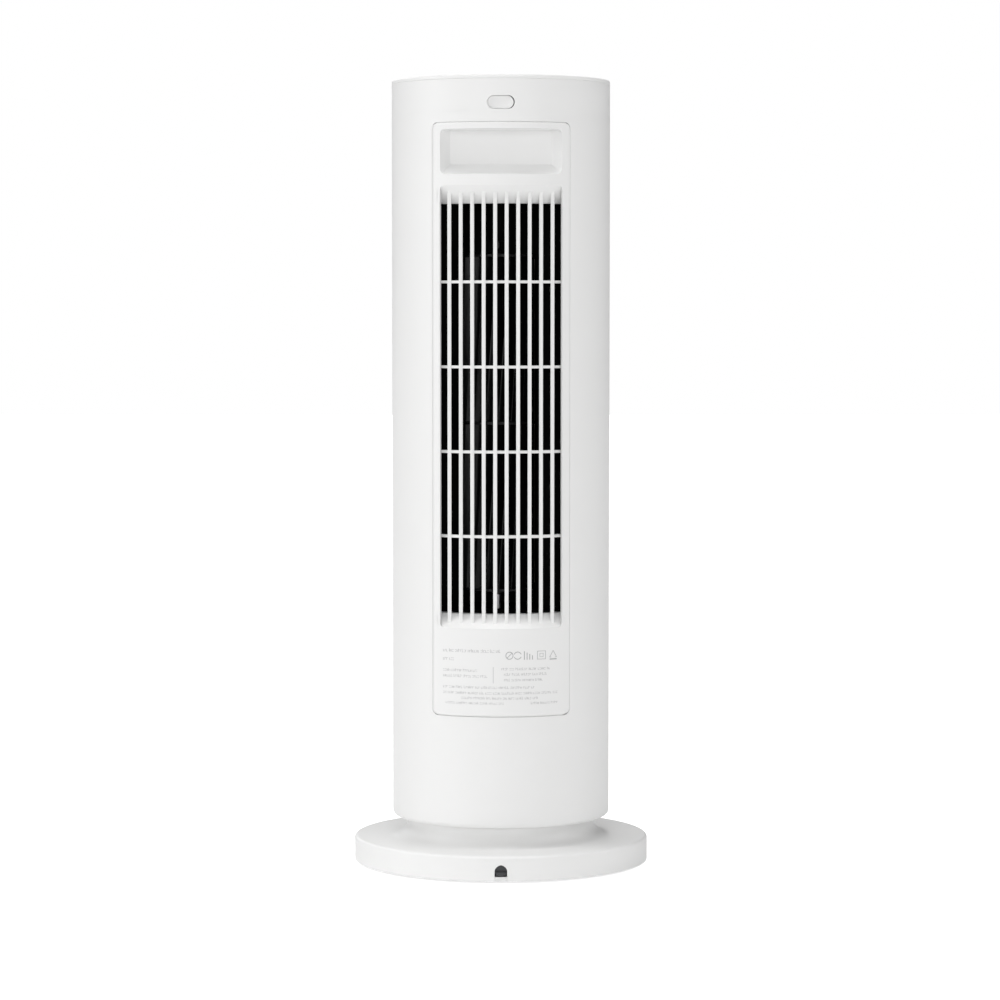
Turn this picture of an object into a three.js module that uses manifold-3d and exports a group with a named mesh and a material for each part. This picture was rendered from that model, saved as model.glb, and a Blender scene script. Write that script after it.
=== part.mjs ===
// A ceramic tower fan heater: a round tower that swings on a weighted disc base.
// Millimetres, +Z up. The origin is the middle of the base, on the surface that it stands on.
// -Y is the back, with the air inlet and the carrying recess, and +Y is the front, with the outlet.

import * as THREE from 'three';
import { mergeVertices } from 'three/addons/utils/BufferGeometryUtils.js';
import Module from 'manifold-3d';

const wasm = await Module();
wasm.setup();

// ---------------------------------------------------------------- driving dimensions

const fit = 0.3; // clearance between two pieces that go together
const touch = 0.05; // the hair's breadth between two faces that bear on each other
const seam = 0.3; // visible joint line between two mouldings

// base
const baseRadius = 95.5;
const baseHeight = 16;
const baseWall = 2.4;
const baseRimRadius = 2;
const footProud = 1.5; // how far the rubber feet stand out below the base
const footRadius = 8;
const footThickness = 2.3;
const footCircle = 76;
const footFirst = 45; // the first foot, in degrees round from the right
const basePlateThickness = 2;
const baseScrewCircle = 84;
const baseScrewAngles = [20, 160, 200, 340];
const baseBossRadius = 4.5;
const coverScrewAngles = [40, 140, 220, 320];
const coverScrewInset = 6; // from the edge of the shells' lip to the screws of the bottom cover
const screwRadius = 1.5;
const screwHead = 3;
const screwHeadHeight = 1.6;
const screwLength = 9;
const pilotGap = 0.2; // a screw's thread in its hole
const ballastHeight = 6;
const ballastInner = 25;
const ballastOuter = 62;
const leadWay = 14; // width of the way for the lead through the ballast

// cord outlet in the back of the base
const outletWidth = 8.3;
const outletCentre = 7; // above the underside of the base
const glandWall = 0.25; // air left round the gland
const glandLength = 8;
const glandSetback = 0.6;
const glandLip = 6.5; // half width of the flange behind the wall
const leadRadius = 2.4;

// neck and swing bearing
const neckGap = 13.3; // from the top of the base to the underside of the tower
const neckRadius = 60;
const neckFillet = 12; // the neck flares out into the base
const neckHoleInset = 18; // from the neck's side to the edge of the base cover's hole
const neckWall = 2.4;
const hubRadius = 14;
const hubBore = 9;
const washerThickness = 1;
const washerWidth = 12;

// swing drive
const gearModule = 1.25;
const fixedTeeth = 34;
const pinionTeeth = 14;
const gearWidth = 5;
const gearBacklash = 0.35;
const swingMotorRadius = 23;
const swingMotorHeight = 17;
const swingShaftRadius = 2.5;
const hubAboveGear = 3;
const retainerHeight = 2;
const retainerWidth = 4.5;
const bracketHalfLength = 35;
const bracketHalfWidth = 12;
const bracketPost = 30; // from the middle of the bracket to its posts

// tower
const towerRadius = 70.5;
const towerHeight = 475.7;
const shellWall = 2.4;
const towerEdgeRadius = 3.3;
const coverPlateWidth = 8.5; // how far the turned-in lower edge of the shells reaches
const coverThickness = 2.4;
const skirtDepth = 6;

// back panel, with margins from the ends of the tower
const panelHalfWidth = 43.5;
const panelBelow = 71.6;
const panelAbove = 31;
const panelCorner = 4;
const flangeWidth = 3.5;
const recessHalfWidth = 38.5;
const recessCorner = 2.5;
const handleMargin = 4.3; // panel edge above the carrying recess
const handleHeight = 28.2;
const handleDepth = 20;
const handleHook = 7; // how far the fingers reach up behind the top edge
const handleHookDepth = 11;
const handleDraft = 6; // slope of the recess's lower and side walls
const handleBar = 7; // between the carrying recess and the inlet
const labelHeight = 55.8; // plain area of the panel below the inlet
const inletUpperSlope = 11.3; // height of the sloped lead-in above the slots
const inletLowerSlope = 8.6; // and below them
const inletDepth = 8.5;
const inletThrough = 6; // straight part of the slots behind the lead-ins
const inletRibs = 10;
const inletEndNarrowing = 0.35; // how much narrower the two end slots are together, in pitches
const inletRibWidth = 2.5;
const inletRibSetback = 2;
const inletRibDepth = 6;
const inletBars = 4;
const inletBarNarrowing = 0.158; // the same for the end rows of openings, in bar spacings
const inletBarHeight = 1.8;

// front outlet
const outletBelow = 131;
const outletAbove = 77;
const outletHalfWidth = 36;
const outletCorner = 6;
const outletRibs = 9;
const outletRibWidth = 2;
const outletRibDepth = 6;
const outletBars = 4;
const outletBarHeight = 2;
const outletFrame = 4;
const outletSetback = 0.6;

// mains switch at the back
const switchWidth = 17.6;
const switchHeight = 8.4;
const switchBelowTop = 17.3;
const rockerSetback = 1.3;
const rockerPivotDepth = 4.5;
const rockerTilt = 6;
const rockerGap = 0.4;
const rockerEndGap = 0.7; // the ends of the rocker move in and out, so they have more room
const rockerHousingWall = 2;
const rockerHousingDepth = 16;

// control panel on the top
const buttonRadius = 6;
const buttonPitch = 24;
const buttonRow = 10; // in front of the tower's axis
const buttonTravel = 1;
const buttonFlange = 1.2;
const displayWidth = 46;
const displayLength = 13;
const displayRow = 37;
const displayThickness = 1;
const boardThickness = 1.6;
const boardUnderKeys = 1.5;
const buttonFlangeHeight = 1.4;

// fan
const fanX = -2;
const fanY = -22;
const fanRadius = 24;
const fanBlades = 18;
const fanBladeThickness = 1.1;
const fanBladeDepth = 8;
const fanTwist = 18; // degrees that each half's blades lean round the axis
const fanBladeSweep = 14; // degrees that a blade's inner edge trails its outer edge
const fanBladeBow = 4; // degrees that its middle stands ahead of a straight blade
const fanDisc = 2;
const fanBelowSlots = 13.7; // lower disc above the foot of the inlet slots
const fanUnderSlots = 32.4; // upper disc below the head of the inlet slots
const fanShaftRadius = 2;
const fanHubRadius = 6;
const fanHubLength = 10;
const bearingAboveFan = 11; // the shaft's upper bearing, in a boss under the duct roof
const bearingHeight = 6;
const bearingWall = 2;
const fanMotorRadius = 20;
const fanMotorHeight = 25;

// air duct and heater
const ductWall = 2;
const ductGap = 2.5; // between the fan and the duct walls at their closest
const ductPlate = 2.4;
const ductClearBelow = 13; // from the duct floor to the fan
const ductClearAbove = 34; // from the fan to the duct roof
const ductHalfDepth = 43;
const heaterHalfWidth = 26;
const heaterDepth = 14;
const heaterRow = 29; // heater's middle, in front of the tower's axis
const heaterPastFan = 4; // how far the element reaches above and below the fan's blades
const heaterBars = 4;
const heaterBarWidth = 5;
const frameWall = 3;
const headerHeight = 5; // solid ends of the ceramic element

// electronics
const harnessX = -50;
const harnessRadius = 3;
const powerBoardHalfWidth = 44;
const powerBoardHeight = 58;

const round = 40; // facets of a large circle
const smallRound = 16; // facets of a small one

// ---------------------------------------------------------------- derived heights

// in the base's own frame
const baseTop = footProud + baseHeight;
const towerBottom = baseTop + neckGap;
const neckTop = towerBottom - washerThickness - touch;

// in the tower's frame, which starts at its underside
const shellTop = towerHeight - coverThickness - seam;
const shellInner = towerRadius - shellWall;
const panelBottom = panelBelow;
const panelTop = towerHeight - panelAbove;
const handleTop = panelTop - handleMargin;
const handleBottom = handleTop - handleHeight;
const recessTop = handleBottom - handleBar;
const recessBottom = panelBottom + labelHeight;
const slotTop = recessTop - inletUpperSlope;
const slotBottom = recessBottom + inletLowerSlope;
const fanBottom = slotBottom + fanBelowSlots;
const fanTop = slotTop - fanUnderSlots;
const ductBottom = fanBottom - ductClearBelow;
const ductTop = fanTop + ductClearAbove;
const floorTop = shellWall + coverThickness + fit; // upper face of the two-step bottom cover
const gearBottom = floorTop + 1;
const gearTop = gearBottom + gearWidth;
const gearDistance = (gearModule * (fixedTeeth + pinionTeeth)) / 2;
const heaterBottom = fanBottom - heaterPastFan;
const heaterTop = fanTop + heaterPastFan;
const bearingBottom = fanTop + bearingAboveFan;
const bracketBottom = gearTop + 5;
const swingMotorBottom = bracketBottom + coverThickness + touch;
const lipRadius = towerRadius - coverPlateWidth;
const frameHalfWidth = heaterHalfWidth + fit + frameWall;
const frameBack = heaterRow - heaterDepth / 2 - 2;

// ---------------------------------------------------------------- solids

// A closed solid from a three.js geometry: only places are kept, and slivers at a pole are dropped.
function solid(geometry) {
  geometry.deleteAttribute('normal');
  geometry.deleteAttribute('uv');
  const merged = mergeVertices(geometry, 1e-4);
  const corners = merged.index.array;
  const kept = [];
  for (let i = 0; i < corners.length; i += 3) {
    const [a, b, c] = corners.slice(i, i + 3);
    if (a !== b && b !== c && c !== a) {
      kept.push(a, b, c);
    }
  }
  return new wasm.Manifold(
    new wasm.Mesh({
      numProp: 3,
      vertProperties: merged.attributes.position.array,
      triVerts: new Uint32Array(kept),
    }),
  );
}

// Turns a closed outline of [radius, height] points round the Z axis.
function revolve(outline, facets = round) {
  const turned = outline.map(([r, z]) => new THREE.Vector2(r, z));
  if (THREE.ShapeUtils.area(turned) < 0) {
    turned.reverse();
  }
  turned.push(turned[0]);
  return solid(new THREE.LatheGeometry(turned, facets).rotateX(Math.PI / 2));
}

function ring(inner, outer, bottom, top, facets = round) {
  return revolve([[inner, bottom], [outer, bottom], [outer, top], [inner, top]], facets);
}

function cylinder(radius, bottom, top, facets = smallRound) {
  const made = new THREE.CylinderGeometry(radius, radius, top - bottom, facets);
  return solid(made.rotateX(Math.PI / 2).translate(0, 0, (top + bottom) / 2));
}

function box(x0, x1, y0, y1, z0, z1) {
  const made = new THREE.BoxGeometry(x1 - x0, y1 - y0, z1 - z0);
  return solid(made.translate((x0 + x1) / 2, (y0 + y1) / 2, (z0 + z1) / 2));
}

// A flat outline drawn in X and Y, raised along Z.
function raise(shape, bottom, top, curveSegments = 4) {
  const settings = { depth: top - bottom, bevelEnabled: false, curveSegments };
  return solid(new THREE.ExtrudeGeometry(shape, settings).translate(0, 0, bottom));
}

// A flat outline drawn in X and Z, as seen from the back, carried from y0 to y1.
function carryBack(shape, y0, y1, curveSegments = 4) {
  const settings = { depth: y1 - y0, bevelEnabled: false, curveSegments };
  const made = new THREE.ExtrudeGeometry(shape, settings);
  return solid(made.rotateX(Math.PI / 2).translate(0, y1, 0));
}

function polygon(points) {
  return new THREE.Shape(points.map(([x, y]) => new THREE.Vector2(x, y)));
}

function roundedRectangle(x0, x1, y0, y1, corner) {
  const shape = new THREE.Shape();
  shape.moveTo(x0 + corner, y0);
  shape.lineTo(x1 - corner, y0);
  shape.absarc(x1 - corner, y0 + corner, corner, -Math.PI / 2, 0);
  shape.lineTo(x1, y1 - corner);
  shape.absarc(x1 - corner, y1 - corner, corner, 0, Math.PI / 2);
  shape.lineTo(x0 + corner, y1);
  shape.absarc(x0 + corner, y1 - corner, corner, Math.PI / 2, Math.PI);
  shape.lineTo(x0, y0 + corner);
  shape.absarc(x0 + corner, y0 + corner, corner, Math.PI, Math.PI * 1.5);
  return shape;
}

// Quarter-round points from one angle to another, in degrees, ends included.
function arc(cx, cy, radius, from, to, steps) {
  const points = [];
  for (let i = 0; i <= steps; i += 1) {
    const angle = THREE.MathUtils.degToRad(from + ((to - from) * i) / steps);
    points.push([cx + radius * Math.cos(angle), cy + radius * Math.sin(angle)]);
  }
  return points;
}

function onCircle(radius, degrees) {
  const angle = THREE.MathUtils.degToRad(degrees);
  return [radius * Math.cos(angle), radius * Math.sin(angle)];
}

function joined(solids) {
  return solids.reduce((whole, next) => whole.add(next));
}

function material(color, roughness, metalness = 0) {
  return new THREE.MeshStandardMaterial({ color, roughness, metalness });
}

const finish = {
  whitePlastic: material(0xf1f1f0, 0.42),
  blackPlastic: material(0x17181a, 0.35),
  smokedWindow: material(0x0c0d10, 0.12),
  rubber: material(0x2c2d2f, 0.7),
  steel: material(0xa9adb2, 0.35, 0.9),
  castIron: material(0x55585c, 0.65, 0.7),
  acetal: material(0xe9e6dc, 0.4),
  ceramic: material(0x8d8f92, 0.5, 0.6),
  heatPlastic: material(0x3a3b3d, 0.6),
  circuitBoard: material(0x1f5a3c, 0.5),
  wire: material(0x242527, 0.55),
};

function piece(name, made, look) {
  const { numProp, vertProperties, triVerts } = made.getMesh();
  const geometry = new THREE.BufferGeometry();
  geometry.setAttribute('position', new THREE.BufferAttribute(vertProperties, numProp));
  geometry.setIndex(new THREE.BufferAttribute(triVerts, 1));
  geometry.computeVertexNormals();
  const mesh = new THREE.Mesh(geometry, look);
  mesh.name = name;
  return mesh;
}

// ---------------------------------------------------------------- base

function baseCover() {
  const inner = baseRadius - baseWall;
  const hole = neckRadius - neckHoleInset;
  let made = revolve([
    [hole, baseTop],
    ...arc(baseRadius - baseRimRadius, baseTop - baseRimRadius, baseRimRadius, 90, 0, 3),
    [baseRadius, footProud + 0.8],
    [baseRadius - 0.8, footProud],
    [inner, footProud],
    [inner, baseTop - baseWall],
    [hole, baseTop - baseWall],
  ]);
  const plateTop = footProud + basePlateThickness;
  for (const degrees of baseScrewAngles) {
    const [x, y] = onCircle(baseScrewCircle, degrees);
    const boss = cylinder(baseBossRadius, plateTop + fit, baseTop - baseWall / 2, 10).translate([x, y, 0]);
    const pilot = cylinder(screwRadius + pilotGap, plateTop, baseTop - baseWall - 1, 8);
    made = made.add(boss).subtract(pilot.translate([x, y, 0]));
  }
  return made.subtract(outletCut(outletWidth / 2));
}

// The cord outlet: a slot open at the bottom edge with a round top, cut from back to front.
function outletCut(half) {
  const centre = footProud + outletCentre;
  const shape = polygon([[-half, 0], [half, 0], ...arc(0, centre, half, 0, 180, 10)]);
  return carryBack(shape, -baseRadius - 1, -baseRadius + baseWall + 6);
}

function screwSolid() {
  return revolve([
    [0, 0],
    [screwHead, 0],
    [screwHead, screwHeadHeight / 2],
    [screwRadius, screwHeadHeight],
    [screwRadius, screwLength - 1],
    [0, screwLength],
  ], 8);
}

function screwHole() {
  return cylinder(screwHead + fit, -1, screwHeadHeight + fit, 8)
    .add(cylinder(screwRadius + pilotGap, 0, screwLength + 1, 8));
}

function basePlate() {
  const radius = baseRadius - baseWall - fit;
  let made = cylinder(radius, footProud, footProud + basePlateThickness, round);
  for (let i = 0; i < 4; i += 1) {
    const [x, y] = onCircle(footCircle, footFirst + 90 * i);
    const pocketTop = footThickness + touch;
    made = made.subtract(cylinder(footRadius + fit, 0, pocketTop, 16).translate([x, y, 0]));
  }
  for (const degrees of baseScrewAngles) {
    const [x, y] = onCircle(baseScrewCircle, degrees);
    made = made.subtract(screwHole().translate([x, y, footProud]));
  }
  return made;
}

function ballastPlate() {
  const bottom = footProud + basePlateThickness + touch;
  const plate = ring(ballastInner, ballastOuter, bottom, bottom + ballastHeight, round);
  return plate.subtract(box(-leadWay / 2, leadWay / 2, -ballastOuter - 1, 0, 0, baseTop));
}

// A moulded grommet: it fills the outlet's round top, with a flange behind the wall.
function cordGland() {
  const half = outletWidth / 2 - glandWall;
  const centre = footProud + outletCentre;
  const front = -baseRadius + glandSetback;
  const plug = polygon([
    [-half * 0.8, centre - 3.4],
    [half * 0.8, centre - 3.4],
    [half, centre - 2],
    [half, centre + 1.2],
    ...arc(0, centre + 1.2, half * 0.72, 0, 180, 6),
    [-half, centre + 1.2],
    [-half, centre - 2],
  ]);
  const flangeFront = -baseRadius + baseWall + 3 * fit;
  const flangeBottom = footProud + basePlateThickness + fit;
  const flangeTop = Math.min(centre + outletWidth / 2 + 1, baseTop - baseWall - fit);
  const flange = box(-glandLip, glandLip, flangeFront, flangeFront + 2, flangeBottom, flangeTop);
  const leadHole = carryBack(
    polygon(arc(0, centre, leadRadius, 0, 330, 11)),
    front + 1.5,
    front + glandLength + 1,
  );
  return carryBack(plug, front, front + glandLength).add(flange).subtract(leadHole);
}

// The neck: a flanged hat with the hub on which the tower turns.
function neckCollar() {
  const inner = neckRadius - neckWall;
  const hubTop = towerBottom + gearTop + hubAboveGear;
  return revolve([
    ...arc(neckRadius + neckFillet, baseTop + touch + neckFillet, neckFillet, 270, 180, 5),
    [neckRadius, neckTop],
    [hubRadius, neckTop],
    [hubRadius, hubTop],
    [hubBore, hubTop],
    [hubBore, neckTop - neckWall],
    [inner, neckTop - neckWall],
    [inner, baseTop + touch],
  ]);
}

function slideWasher() {
  const outer = neckRadius - 1;
  return ring(outer - washerWidth, outer, neckTop + touch, towerBottom - touch, round);
}

// ---------------------------------------------------------------- gears

// Involute spur gear with straightened flanks and a tooth centred on firstTooth degrees.
function gearOutline(teeth, firstTooth) {
  const pitch = (gearModule * teeth) / 2;
  const baseCircle = pitch * Math.cos(THREE.MathUtils.degToRad(20));
  const tip = pitch + 0.85 * gearModule;
  const root = pitch - 1.25 * gearModule;
  const roll = (r) => {
    const angle = Math.acos(Math.min(1, baseCircle / r));
    return Math.tan(angle) - angle;
  };
  const halfAtPitch = (Math.PI * gearModule - gearBacklash) / 4 / pitch;
  const half = (r) => halfAtPitch + roll(pitch) - roll(Math.max(r, baseCircle));
  const points = [];
  for (let tooth = 0; tooth < teeth; tooth += 1) {
    const middle = THREE.MathUtils.degToRad(firstTooth + (360 * tooth) / teeth);
    for (const [r, side] of [[root, -1], [tip, -1], [tip, 1], [root, 1]]) {
      const angle = middle + side * half(r);
      points.push([r * Math.cos(angle), r * Math.sin(angle)]);
    }
  }
  return polygon(points);
}

function swingGear() {
  const bottom = towerBottom + gearBottom;
  const gear = raise(gearOutline(fixedTeeth, 90), bottom, bottom + gearWidth);
  return gear.subtract(cylinder(hubRadius + fit, bottom - 1, bottom + gearWidth + 1, 24));
}

function hubRing() {
  const bottom = towerBottom + gearTop + touch;
  return ring(hubRadius + fit, hubRadius + retainerWidth, bottom, bottom + retainerHeight, 24);
}

function swingPinion() {
  const gear = raise(gearOutline(pinionTeeth, 270 + 180 / pinionTeeth), 0, gearWidth - fit);
  const shaftTop = swingMotorBottom - gearBottom + 3;
  return gear.add(cylinder(swingShaftRadius, 0.5, shaftTop, smallRound));
}

function swingMotor() {
  const can = cylinder(swingMotorRadius, 0, swingMotorHeight, 32);
  const leadBlock = box(-7, 7, swingMotorRadius - 3, swingMotorRadius + 3, 2, 12);
  return can.add(leadBlock).subtract(cylinder(swingShaftRadius + fit, -1, 4, smallRound));
}

function swingBracket() {
  const shape = roundedRectangle(
    -bracketHalfLength,
    bracketHalfLength,
    -bracketHalfWidth,
    bracketHalfWidth,
    5,
  );
  const plate = raise(shape, 0, coverThickness, 3);
  return plate.subtract(cylinder(swingShaftRadius + 2, -1, coverThickness + 1, smallRound));
}

// ---------------------------------------------------------------- tower shells

// The tube of the tower, turned in at its lower edge.
function towerTube() {
  const inside = towerEdgeRadius > shellWall ? towerEdgeRadius - shellWall : 0.1;
  return revolve([
    [lipRadius, 0],
    ...arc(towerRadius - towerEdgeRadius, towerEdgeRadius, towerEdgeRadius, 270, 360, 3),
    [towerRadius, shellTop],
    [shellInner, shellTop],
    ...arc(shellInner - inside, shellWall + inside, inside, 360, 270, 1),
    [lipRadius, shellWall],
  ]);
}

function backHalf(top) {
  const far = towerRadius + 5;
  return box(-far, far, -far, -seam / 2, -1, top + 1);
}

function frontHalf(top) {
  const far = towerRadius + 5;
  return box(-far, far, seam / 2, far, -1, top + 1);
}

function switchOutline(growth) {
  const halfWidth = switchWidth / 2 + growth;
  const halfHeight = switchHeight / 2 + growth;
  const middle = towerHeight - switchBelowTop;
  return roundedRectangle(
    -halfWidth,
    halfWidth,
    middle - halfHeight,
    middle + halfHeight,
    halfHeight - 0.01,
  );
}

function panelOutline(growth) {
  return roundedRectangle(
    -panelHalfWidth - growth,
    panelHalfWidth + growth,
    panelBottom - growth,
    panelTop + growth,
    panelCorner + growth,
  );
}

// Where a screw goes up through the bottom cover.
function coverScrewPlace(degrees) {
  return onCircle(lipRadius - coverScrewInset, degrees);
}

function rearShell() {
  return towerTube()
    .intersect(backHalf(shellTop))
    .subtract(carryBack(panelOutline(seam), -towerRadius - 1, -5, 3))
    .subtract(carryBack(switchOutline(0), -towerRadius - 1, -5, 3));
}

function frontOutline(growth) {
  return roundedRectangle(
    -outletHalfWidth - growth,
    outletHalfWidth + growth,
    outletBelow - growth,
    towerHeight - outletAbove + growth,
    outletCorner + growth,
  );
}

function frontShell() {
  return towerTube()
    .intersect(frontHalf(shellTop))
    .subtract(carryBack(frontOutline(seam), 5, towerRadius + 1, 3));
}

// A disc on the shells' turned-in edge, stepped so that it can't drop through.
function bottomCover() {
  const bearing = hubRadius + fit;
  const posts = [-bracketPost, bracketPost].map((x) =>
    cylinder(4, floorTop - 1, bracketBottom - touch, 12).translate([x, gearDistance, 0]),
  );
  let made = revolve([
    [bearing, 0],
    [lipRadius - fit, 0],
    [lipRadius - fit, shellWall + touch],
    [shellInner - fit - 1.5, shellWall + touch],
    [shellInner - fit - 1.5, floorTop],
    [bearing, floorTop],
  ]);
  made = joined([made, ...posts]);
  for (const degrees of coverScrewAngles) {
    const [x, y] = coverScrewPlace(degrees);
    made = made.subtract(screwHole().translate([x, y, 0]));
  }
  return made;
}

// ---------------------------------------------------------------- back panel

// A wall that follows the tower's curve between two radii, on the back or the front.
function curvedBand(inner, outer, bottom, top) {
  return ring(inner, outer, bottom, top, round);
}

// The inlet's opening: sloped lead-ins at both ends, and the clear way behind them.
function inletOpening() {
  const deep = towerRadius - inletDepth;
  const outside = towerRadius + 2;
  const past = (outside - towerRadius) / inletDepth;
  const way = revolve([
    [outside, recessBottom - inletLowerSlope * past],
    [outside, recessTop + inletUpperSlope * past],
    [deep, slotTop],
    [deep - inletThrough, slotTop],
    [deep - inletThrough, slotBottom],
    [deep, slotBottom],
  ]);
  return way.intersect(box(-recessHalfWidth, recessHalfWidth, -outside, -20, panelBottom, panelTop));
}

function inletRibsSolid() {
  const outer = towerRadius - inletRibSetback;
  const pitch = (2 * recessHalfWidth) / (inletRibs + 1 - inletEndNarrowing);
  const ribs = [];
  for (let i = 1; i <= inletRibs; i += 1) {
    const x = pitch * (i - (inletRibs + 1) / 2);
    const half = inletRibWidth / 2;
    ribs.push(box(x - half, x + half, -towerRadius, -20, recessBottom, recessTop));
  }
  const band = curvedBand(outer - inletRibDepth, outer, recessBottom, recessTop);
  const barSpacing = (slotTop - slotBottom) / (inletBars + 1 - inletBarNarrowing);
  const barBand = curvedBand(outer - inletRibDepth + 1, outer - 1, recessBottom, recessTop);
  const bars = [];
  for (let i = 1; i <= inletBars; i += 1) {
    const z = (slotBottom + slotTop) / 2 + barSpacing * (i - (inletBars + 1) / 2);
    const half = inletBarHeight / 2;
    const reach = recessHalfWidth + 1;
    bars.push(box(-reach, reach, -towerRadius, -20, z - half, z + half));
  }
  return joined(ribs).intersect(band).add(joined(bars).intersect(barBand));
}

// A flat outline drawn in Y and Z, carried along X to the same distance on each side.
function carryAcross(shape, half) {
  const made = new THREE.ExtrudeGeometry(shape, { depth: 2 * half, bevelEnabled: false });
  return solid(made.rotateX(Math.PI / 2).rotateZ(Math.PI / 2).translate(-half, 0, 0));
}

// Carrying recess: sloped floor and sides, and a hook behind its upper edge for the fingers.
function handleCavity(growth) {
  const face = -towerRadius - 2;
  const back = -towerRadius + handleDepth + growth;
  const half = recessHalfWidth + growth;
  const low = handleBottom - growth;
  const high = handleTop + growth;
  const sideStart = -Math.sqrt(towerRadius ** 2 - recessHalfWidth ** 2);
  const pocket = polygon([
    [face, low],
    [sideStart, low],
    [back, low + handleDraft],
    [back, high],
    [face, high],
  ]);
  const hook = polygon([
    [back - handleHookDepth - 2 * growth, high - 2],
    [back, high - 2],
    [back, high + handleHook],
    [back - handleHookDepth + 3 - 2 * growth, high + handleHook],
  ]);
  const plan = polygon([
    [-half, face],
    [half, face],
    [half, sideStart],
    [half - handleDraft, back + 0.01],
    [-half + handleDraft, back + 0.01],
    [-half, sideStart],
  ]);
  const hookHalf = half - 2 * handleDraft;
  return carryAcross(pocket, half)
    .intersect(raise(plan, low - 1, high + 1))
    .add(carryAcross(hook, hookHalf));
}

function rearPanel() {
  const reach = -20;
  const face = curvedBand(shellInner, towerRadius, panelBottom - 1, panelTop + 1)
    .intersect(carryBack(panelOutline(0), -towerRadius - 1, reach, 3));
  const flangeOuter = shellInner - fit;
  const flange = curvedBand(flangeOuter - shellWall, shellInner + touch, panelBottom - 9, panelTop + 9)
    .intersect(carryBack(panelOutline(-touch), -towerRadius - 1, reach, 3));
  const rim = curvedBand(flangeOuter - shellWall, flangeOuter, panelBottom - 9, panelTop + 9)
    .intersect(carryBack(panelOutline(flangeWidth), -towerRadius - 1, reach, 3));
  const recessWalls = box(
    -recessHalfWidth - shellWall,
    recessHalfWidth + shellWall,
    -towerRadius + 1,
    -towerRadius + inletDepth + 4,
    recessBottom - shellWall,
    recessTop + shellWall,
  ).intersect(curvedBand(towerRadius - inletDepth - 1, towerRadius - 1, recessBottom - 9, recessTop + 9));
  const behindShell = cylinder(shellInner - fit, handleBottom - 20, handleTop + 20, round);
  const handleCup = handleCavity(shellWall).intersect(behindShell.add(face));
  return joined([face, flange, rim, recessWalls, handleCup])
    .subtract(inletOpening())
    .subtract(handleCavity(0))
    .add(inletRibsSolid());
}

// ---------------------------------------------------------------- front grille

function frontGrille() {
  const bottom = outletBelow;
  const top = towerHeight - outletAbove;
  const inner = shellInner - outletRibDepth;
  const band = curvedBand(inner, towerRadius - outletSetback, bottom - 9, top + 9);
  const opening = roundedRectangle(
    -outletHalfWidth + outletFrame,
    outletHalfWidth - outletFrame,
    bottom + outletFrame,
    top - outletFrame,
    outletCorner - 2,
  );
  const far = towerRadius + 1;
  const frame = carryBack(frontOutline(0), 20, far, 3).subtract(carryBack(opening, 10, far + 1, 3));
  const pitch = (2 * (outletHalfWidth - outletFrame)) / (outletRibs + 1);
  const bars = [];
  for (let i = 1; i <= outletRibs; i += 1) {
    const x = -outletHalfWidth + outletFrame + pitch * i;
    const half = outletRibWidth / 2;
    bars.push(box(x - half, x + half, 20, far, bottom + 1, top - 1));
  }
  const spacing = (top - bottom - 2 * outletFrame) / (outletBars + 1);
  for (let i = 1; i <= outletBars; i += 1) {
    const z = bottom + outletFrame + spacing * i;
    const reach = outletHalfWidth - 1;
    bars.push(box(-reach, reach, 20, far, z - outletBarHeight / 2, z + outletBarHeight / 2));
  }
  return joined([frame, ...bars]).intersect(band);
}

// ---------------------------------------------------------------- top

function buttonPlaces() {
  return [-1, 0, 1].map((step) => [step * buttonPitch, buttonRow]);
}

function displayOutline(growth) {
  return roundedRectangle(
    -displayWidth / 2 - growth,
    displayWidth / 2 + growth,
    displayRow - displayLength / 2 - growth,
    displayRow + displayLength / 2 + growth,
    3,
  );
}

function topCover() {
  const bottom = towerHeight - coverThickness;
  const skirtOuter = shellInner - fit;
  let made = revolve([
    [0, bottom],
    [skirtOuter - shellWall, bottom],
    [skirtOuter - shellWall, bottom - skirtDepth],
    [skirtOuter, bottom - skirtDepth],
    [skirtOuter, bottom],
    [towerRadius, bottom],
    ...arc(towerRadius - 1, towerHeight - 1, 1, 0, 90, 2),
    [0, towerHeight],
  ]);
  for (const [x, y] of buttonPlaces()) {
    const hole = cylinder(buttonRadius + fit, bottom - 1, towerHeight + 1, 16);
    made = made.subtract(hole.translate([x, y, 0]));
  }
  const shelf = towerHeight - displayThickness - touch;
  return made.subtract(raise(displayOutline(fit), shelf, towerHeight + 1, 3));
}

function keyButton() {
  const underside = -coverThickness - touch;
  const cap = cylinder(buttonRadius, underside - 0.5, -0.1, 16);
  return cap.add(cylinder(buttonRadius + buttonFlange, underside - buttonFlangeHeight, underside, 16));
}

function displayWindow() {
  return raise(displayOutline(0), towerHeight - displayThickness, towerHeight, 3);
}

function controlBoard() {
  const top = towerHeight - coverThickness - buttonFlangeHeight - buttonTravel - boardUnderKeys;
  const bottom = top - boardThickness;
  return raise(roundedRectangle(-36, 36, 0, 48, 5), bottom, top, 3);
}

// ---------------------------------------------------------------- mains switch

function rockerHousing() {
  const sideX = switchWidth / 2 + rockerHousingWall;
  const front = -Math.sqrt((shellInner - fit) ** 2 - sideX ** 2);
  const back = front + rockerHousingDepth;
  const cup = carryBack(switchOutline(rockerHousingWall), front, back, 3);
  return cup.subtract(carryBack(switchOutline(0), front - 1, back - rockerHousingWall, 3));
}

// Drawn round its own pivot, then tipped to its rest position.
function mainsRocker() {
  const halfWidth = switchWidth / 2 - rockerEndGap;
  const halfHeight = switchHeight / 2 - rockerGap;
  const shape = roundedRectangle(-halfWidth, halfWidth, -halfHeight, halfHeight, halfHeight - 0.01);
  return carryBack(shape, -rockerPivotDepth, 3.5, 3);
}

// ---------------------------------------------------------------- fan

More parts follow.
